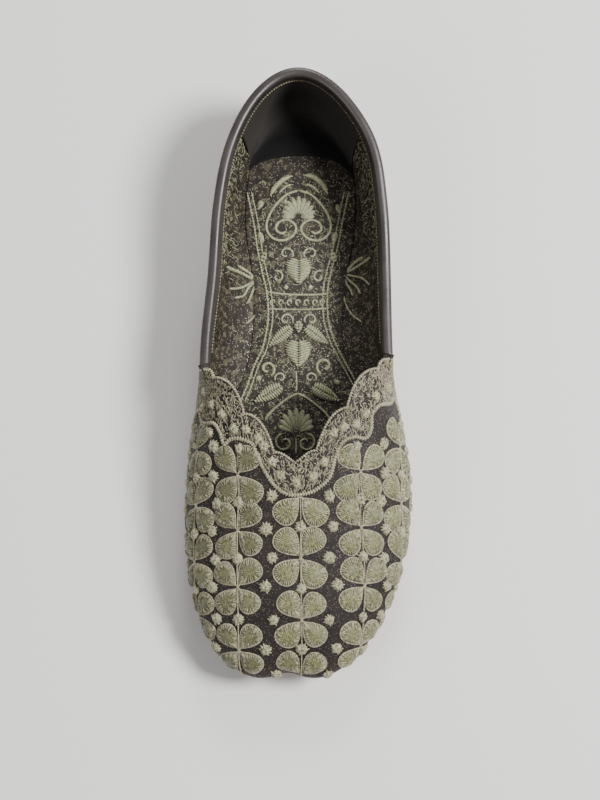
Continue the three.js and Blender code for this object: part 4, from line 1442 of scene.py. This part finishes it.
# two lines down each side, in pixels apart, and a row of small rings across the waist
borderLeft = [(247, 192), (254, 226), (257.5, 250), (262, 272), (266.5, 292), (268, 318), (263, 346),
              (254, 366), (246, 388), (240, 402)]
borderRight = [(349, 192), (343, 220), (338, 246), (331, 272), (327.5, 292), (328, 318), (334, 340),
               (345, 362), (355, 380), (360, 390)]
sideLines = dict(outerWidth=0.8, innerWidth=0.6, apart=4.5)
waistRings = dict(centres=(273, 281.5, 290, 298.5, 307, 315.5, 323), y=302.2, radius=3.4, width=0.75)
edgeLines = []
for side, line in ((-1, borderLeft), (1, borderRight)):
    edgeLines.append((line, sideLines["outerWidth"]))
    edgeLines.append(([(x - side * sideLines["apart"], y) for x, y in line], sideLines["innerWidth"]))
for x in waistRings["centres"]:
    ring = spiral((x, waistRings["y"]), waistRings["radius"], 90, 0.9, 0.3)
    insoleLines.append((ring, waistRings["width"]))
insoleMesh = joined([insoleCord(line, width) for line, width in insoleLines]
                    + [insoleCord(line, width, beat=1.3, deep=0.5) for line, width in edgeLines])
threadPiece("insole_cords", "insole", insoleMesh, leafThread, 1.0)

# Leaves as satin pads: (base, tip, width), both halves meeting along the vein; blades are single
leaves = [((298.5, 259), (298.5, 285), 24), ((298, 341), (298, 368), 24), ((292, 327), (268, 347), 11),
          ((305, 327), (329, 345), 11), ((282, 386), (253, 403), 13), ((312, 386), (341, 402), 13),
          ((298.5, 322), (298.5, 333), 8), ((262, 262), (266, 250), 6), ((335, 262), (331, 250), 6)]
leafWork = dict(pitch=2.6, first=0.1, final=0.92, fewest=4, over=1.06, slope=0.32, width=0.95)


def leafFull(run):
    # half width of a leaf along its vein, of its whole width: rounded at the base, pointed at the tip
    return (4 * run * (1 - run)) ** 0.62 * (1 - run) ** 0.42 * 0.66


def leafOutlines(rows, halves):
    # a lens from base to tip, fullest a third of the way along; a half stops at the vein
    base, tip, width = (np.array([row[k] for row in rows], float) for k in range(3))
    axis = tip - base
    aside = stack(-axis[:, 1], axis[:, 0]) / np.linalg.norm(axis, axis=1)[:, None]
    turn = np.linspace(0, 2 * math.pi, padShape["turns"], endpoint=False)
    run = 0.5 - 0.5 * np.cos(turn)
    full = np.sign(np.sin(turn)) * leafFull(run)
    found, middles = [], []
    for side in ((1, -1) if halves else (0,)):
        out = np.clip(full * side, 0.04, None) * side if side else full
        found.append(base[:, None] + axis[:, None] * run[None, :, None]
                     + aside[:, None] * (out[None] * width[:, None])[..., None])
        middles.append(found[-1].mean(1))
    return np.concatenate(found), np.concatenate(middles)


def leafStrokes(rows):
    # herringbone stitches on each leaf: from the vein out and a little back toward the base
    parts = []
    for base, tip, width in rows:
        base, axis = np.array(base, float), np.array(tip, float) - np.array(base, float)
        length = np.linalg.norm(axis)
        aside = np.array([-axis[1], axis[0]]) / length
        n = max(leafWork["fewest"], int(length / leafWork["pitch"]))
        run = np.linspace(leafWork["first"], leafWork["final"], n)
        full = leafFull(run) * width
        thick = leafWork["width"] * length / n / insoleWork["pixelsPerMm"] * np.array([0.7, 1, 0.9, 0.4])
        t = np.linspace(0, 1, 4)
        for side in (-1, 1):
            across = full[:, None] * t * side * leafWork["over"]
            down = run[:, None] * length - leafWork["slope"] * full[:, None] * t
            pixels = base + axis / length * down[..., None] + aside * across[..., None]
            point = insoleSpots(pixels, 0.55 + 0.35 * np.sin(math.pi * (0.2 + 0.8 * t)))
            parts.append(tubes(point, np.broadcast_to(up3, point.shape), thick, 0.5, sides=5))
    return parts


def fanBlades(base, inner, outer, width, count, sweep):
    # blades of a palmette, fanned evenly to each side of straight back
    turn = np.radians(np.linspace(-sweep, sweep, count))
    reach = outer * (1 - 0.28 * (np.abs(turn) / np.radians(sweep)) ** 1.5)
    return [((base[0] + r * math.sin(a), base[1] - r * math.cos(a)),
             (base[0] + inner * math.sin(a), base[1] - inner * math.cos(a)), width)
            for a, r in zip(turn, reach)]


blades = (fanBlades((298.5, 218), 3.5, 22.5, 5.0, 11, 84) + fanBlades((296, 434), 3.5, 27, 5.6, 9, 66)
          + [((286, 289.5), (286, 284.5), 5), ((310.5, 289.5), (310.5, 284.5), 5),
             ((259, 232), (263, 244), 6), ((336, 232), (333, 244), 6), ((262, 200), (258, 210), 6),
             ((337, 204), (341, 214), 6), ((286, 204), (284, 199), 4), ((256, 380), (262, 376), 5),
             ((340, 384), (334, 380), 5)])
leafPads = padMesh(*leafOutlines(leaves, True), np.full(2 * len(leaves), padShape["rise"]), insoleSpots)
bladePads = padMesh(*leafOutlines(blades, False), np.full(len(blades), padShape["rise"] * 0.8), insoleSpots)
threadPiece("insole_leaves", "insole", joined([leafPads, bladePads] + leafStrokes(leaves)), leafThread, 1.0)
print("stage: insole embroidery")

# Sprigs and loose stitches on the side lining
sprigs = [
    ([(256.5, 280), (248, 277), (238, 272), (226, 267)], 1.5),
    ([(256.5, 280), (250, 274), (244, 270), (237, 265.5)], 1.3),
    ([(256, 281), (249, 284), (240, 288), (229, 289)], 1.0),
    ([(255, 282), (248, 288), (243, 296), (234, 298)], 1.0),
    ([(256, 284), (252, 292), (249, 300), (246, 304)], 1.1),
    ([(257, 286), (258, 295), (256.5, 312), (246, 324)], 0.9),
    ([(342, 273.5), (350, 268), (356, 262), (364, 257)], 1.4),
    ([(342, 274), (352, 270), (362, 264), (371, 257)], 1.3),
    ([(343, 275), (352, 276), (362, 278), (370, 285)], 0.9),
    ([(343, 276), (350, 281), (357, 287), (361, 294)], 0.9),
    ([(343, 277), (347, 284), (351, 290), (353, 296)], 1.0),
    ([(342, 280), (342, 292), (350, 312), (362, 322)], 0.8),
]
liningWork = dict(stitches=1300, length=1.7, width=0.38, lift=0.25, bow=0.3, firstTurn=1.9, ups=(0.16, 0.88),
                  thinFrom=34.0, thinRun=26.0, steps=40)


def liningCord(pixels, width):
    # a cord on the lining along a smooth curve through the pixels
    spots = spline(liningAt(pixels), liningWork["steps"])
    offset = -last["wall"] - liningWork["lift"]
    return surfaceCord(wrapped(spots[:, 0]), spots[:, 1], offset, width, 0.7 * width, 0.7, side=-1)


def liningStitches():
    # short stitches strewn over the lining behind the sprigs, thinning toward them
    n = liningWork["stitches"]
    turn = rng.uniform(liningWork["firstTurn"], 2 * math.pi - liningWork["firstTurn"], n)
    angle, up = wrapped(turn), rng.uniform(*liningWork["ups"], n)
    place = surface(angle, up)
    behind = (place[:, 1] - liningWork["thinFrom"]) / liningWork["thinRun"]
    keep = rng.uniform(0, 1, n) < np.clip(behind, 0, 1)
    angle, up = angle[keep], up[keep]
    way = rng.uniform(0, 2 * math.pi, len(angle))
    reach = liningWork["length"] * rng.uniform(0.5, 1.3, len(angle))
    pace = turnWidth(angle, up) / (2 * turnStep)
    a = angle[:, None] + (np.cos(way) * reach / pace)[:, None] * stitchRun
    u = up[:, None] + (np.sin(way) * reach / ribPace(angle))[:, None] * stitchRun
    point = shell(a, u, -last["wall"] - liningWork["bow"] * stitchBow)
    return tubes(point, -outward(a, u), liningWork["width"], 0.4, sides=4)


sprigMesh, strewn = joined([liningCord(line, width) for line, width in sprigs]), liningStitches()
liningTone = np.concatenate([np.full(len(sprigMesh[0]), 0.9), strandTones(0.0, 0.5, strewn, stitchCorners)])
threadPiece("lining_stitches", "upper", joined([sprigMesh, strewn]), leafThread, liningTone)

looseWork = dict(stitches=1500, x=(240, 356), y=(178, 440), edgeGap=1.5, length=(0.7, 1.9), bow=0.25,
                 width=0.4)


def insoleStitches():
    # short stitches at random places and turns between the motifs of the insole
    n = looseWork["stitches"]
    pixels = stack(rng.uniform(*looseWork["x"], n), rng.uniform(*looseWork["y"], n))
    plan = underPixel(pixels, insoleTop)
    right, left = (np.interp(plan[:, 1], rungY, e[:, -1, 0]) for e in (rightEdge, leftEdge))
    plan = plan[(plan[:, 0] < right - looseWork["edgeGap"]) & (plan[:, 0] > left + looseWork["edgeGap"])]
    way, reach = rng.uniform(0, 2 * math.pi, len(plan)), rng.uniform(*looseWork["length"], len(plan))
    x = plan[:, :1] + (np.cos(way) * reach)[:, None] * stitchRun
    y = plan[:, 1:] + (np.sin(way) * reach)[:, None] * stitchRun
    point = stack(x, y, insoleTop(x, y) + looseWork["bow"] * stitchBow)
    return tubes(point, np.broadcast_to(up3, point.shape), looseWork["width"], 0.35, sides=4)


looseMesh = insoleStitches()
threadPiece("insole_stitches", "insole", looseMesh, leafThread,
            strandTones(0.0, 0.8, looseMesh, stitchCorners))
print("stage: lining embroidery")

# Stage: a plain pale floor and soft light. Each lamp is its place and size in metres, and its power.
studio = dict(floorSize=6.0, floorTint=(0.78, 0.77, 0.75), floorDrop=0.05, ambient=0.31, aim=(0, 0, 0.02))
lamps = dict(
    key=((0.78, 0.0, 1.08), 0.42, 28.5),
    fill=((-0.9, -0.5, 1.0), 0.7, 4.5),
    rim=((0.1, 1.2, 0.9), 0.5, 10),
)


def addArea(name, place, size, power):
    # a round soft lamp that faces the aim
    data = bpy.data.lights.new(name, "AREA")
    data.shape, data.size, data.energy = "DISK", size, power
    lamp = bpy.data.objects.new(name, data)
    bpy.context.collection.objects.link(lamp)
    lamp.location = place
    lamp.rotation_euler = (Vector(place) - Vector(studio["aim"])).to_track_quat("Z", "Y").to_euler()


def makeStage():
    # one square of floor just under the sole, an even white sky and the lamps
    side, low = studio["floorSize"] / 2 / mm, -studio["floorDrop"]
    corners = [[-side, -side, low], [side, -side, low], [side, side, low], [-side, side, low]]
    pale, _, _ = newMaterial("floor", 0.8, Base_Color=(*studio["floorTint"], 1))
    floor = makeMesh("floor", corners, [np.array([[0, 1, 2, 3]])], pale, smooth=False)
    world = bpy.data.worlds.new("studio")
    bpy.context.scene.world = world
    world.use_nodes = True
    background = world.node_tree.nodes["Background"]
    background.inputs["Color"].default_value = (1, 1, 1, 1)
    background.inputs["Strength"].default_value = studio["ambient"]
    for name, lamp in lamps.items():
        addArea(name, *lamp)


makeStage()
print("stage: lights")
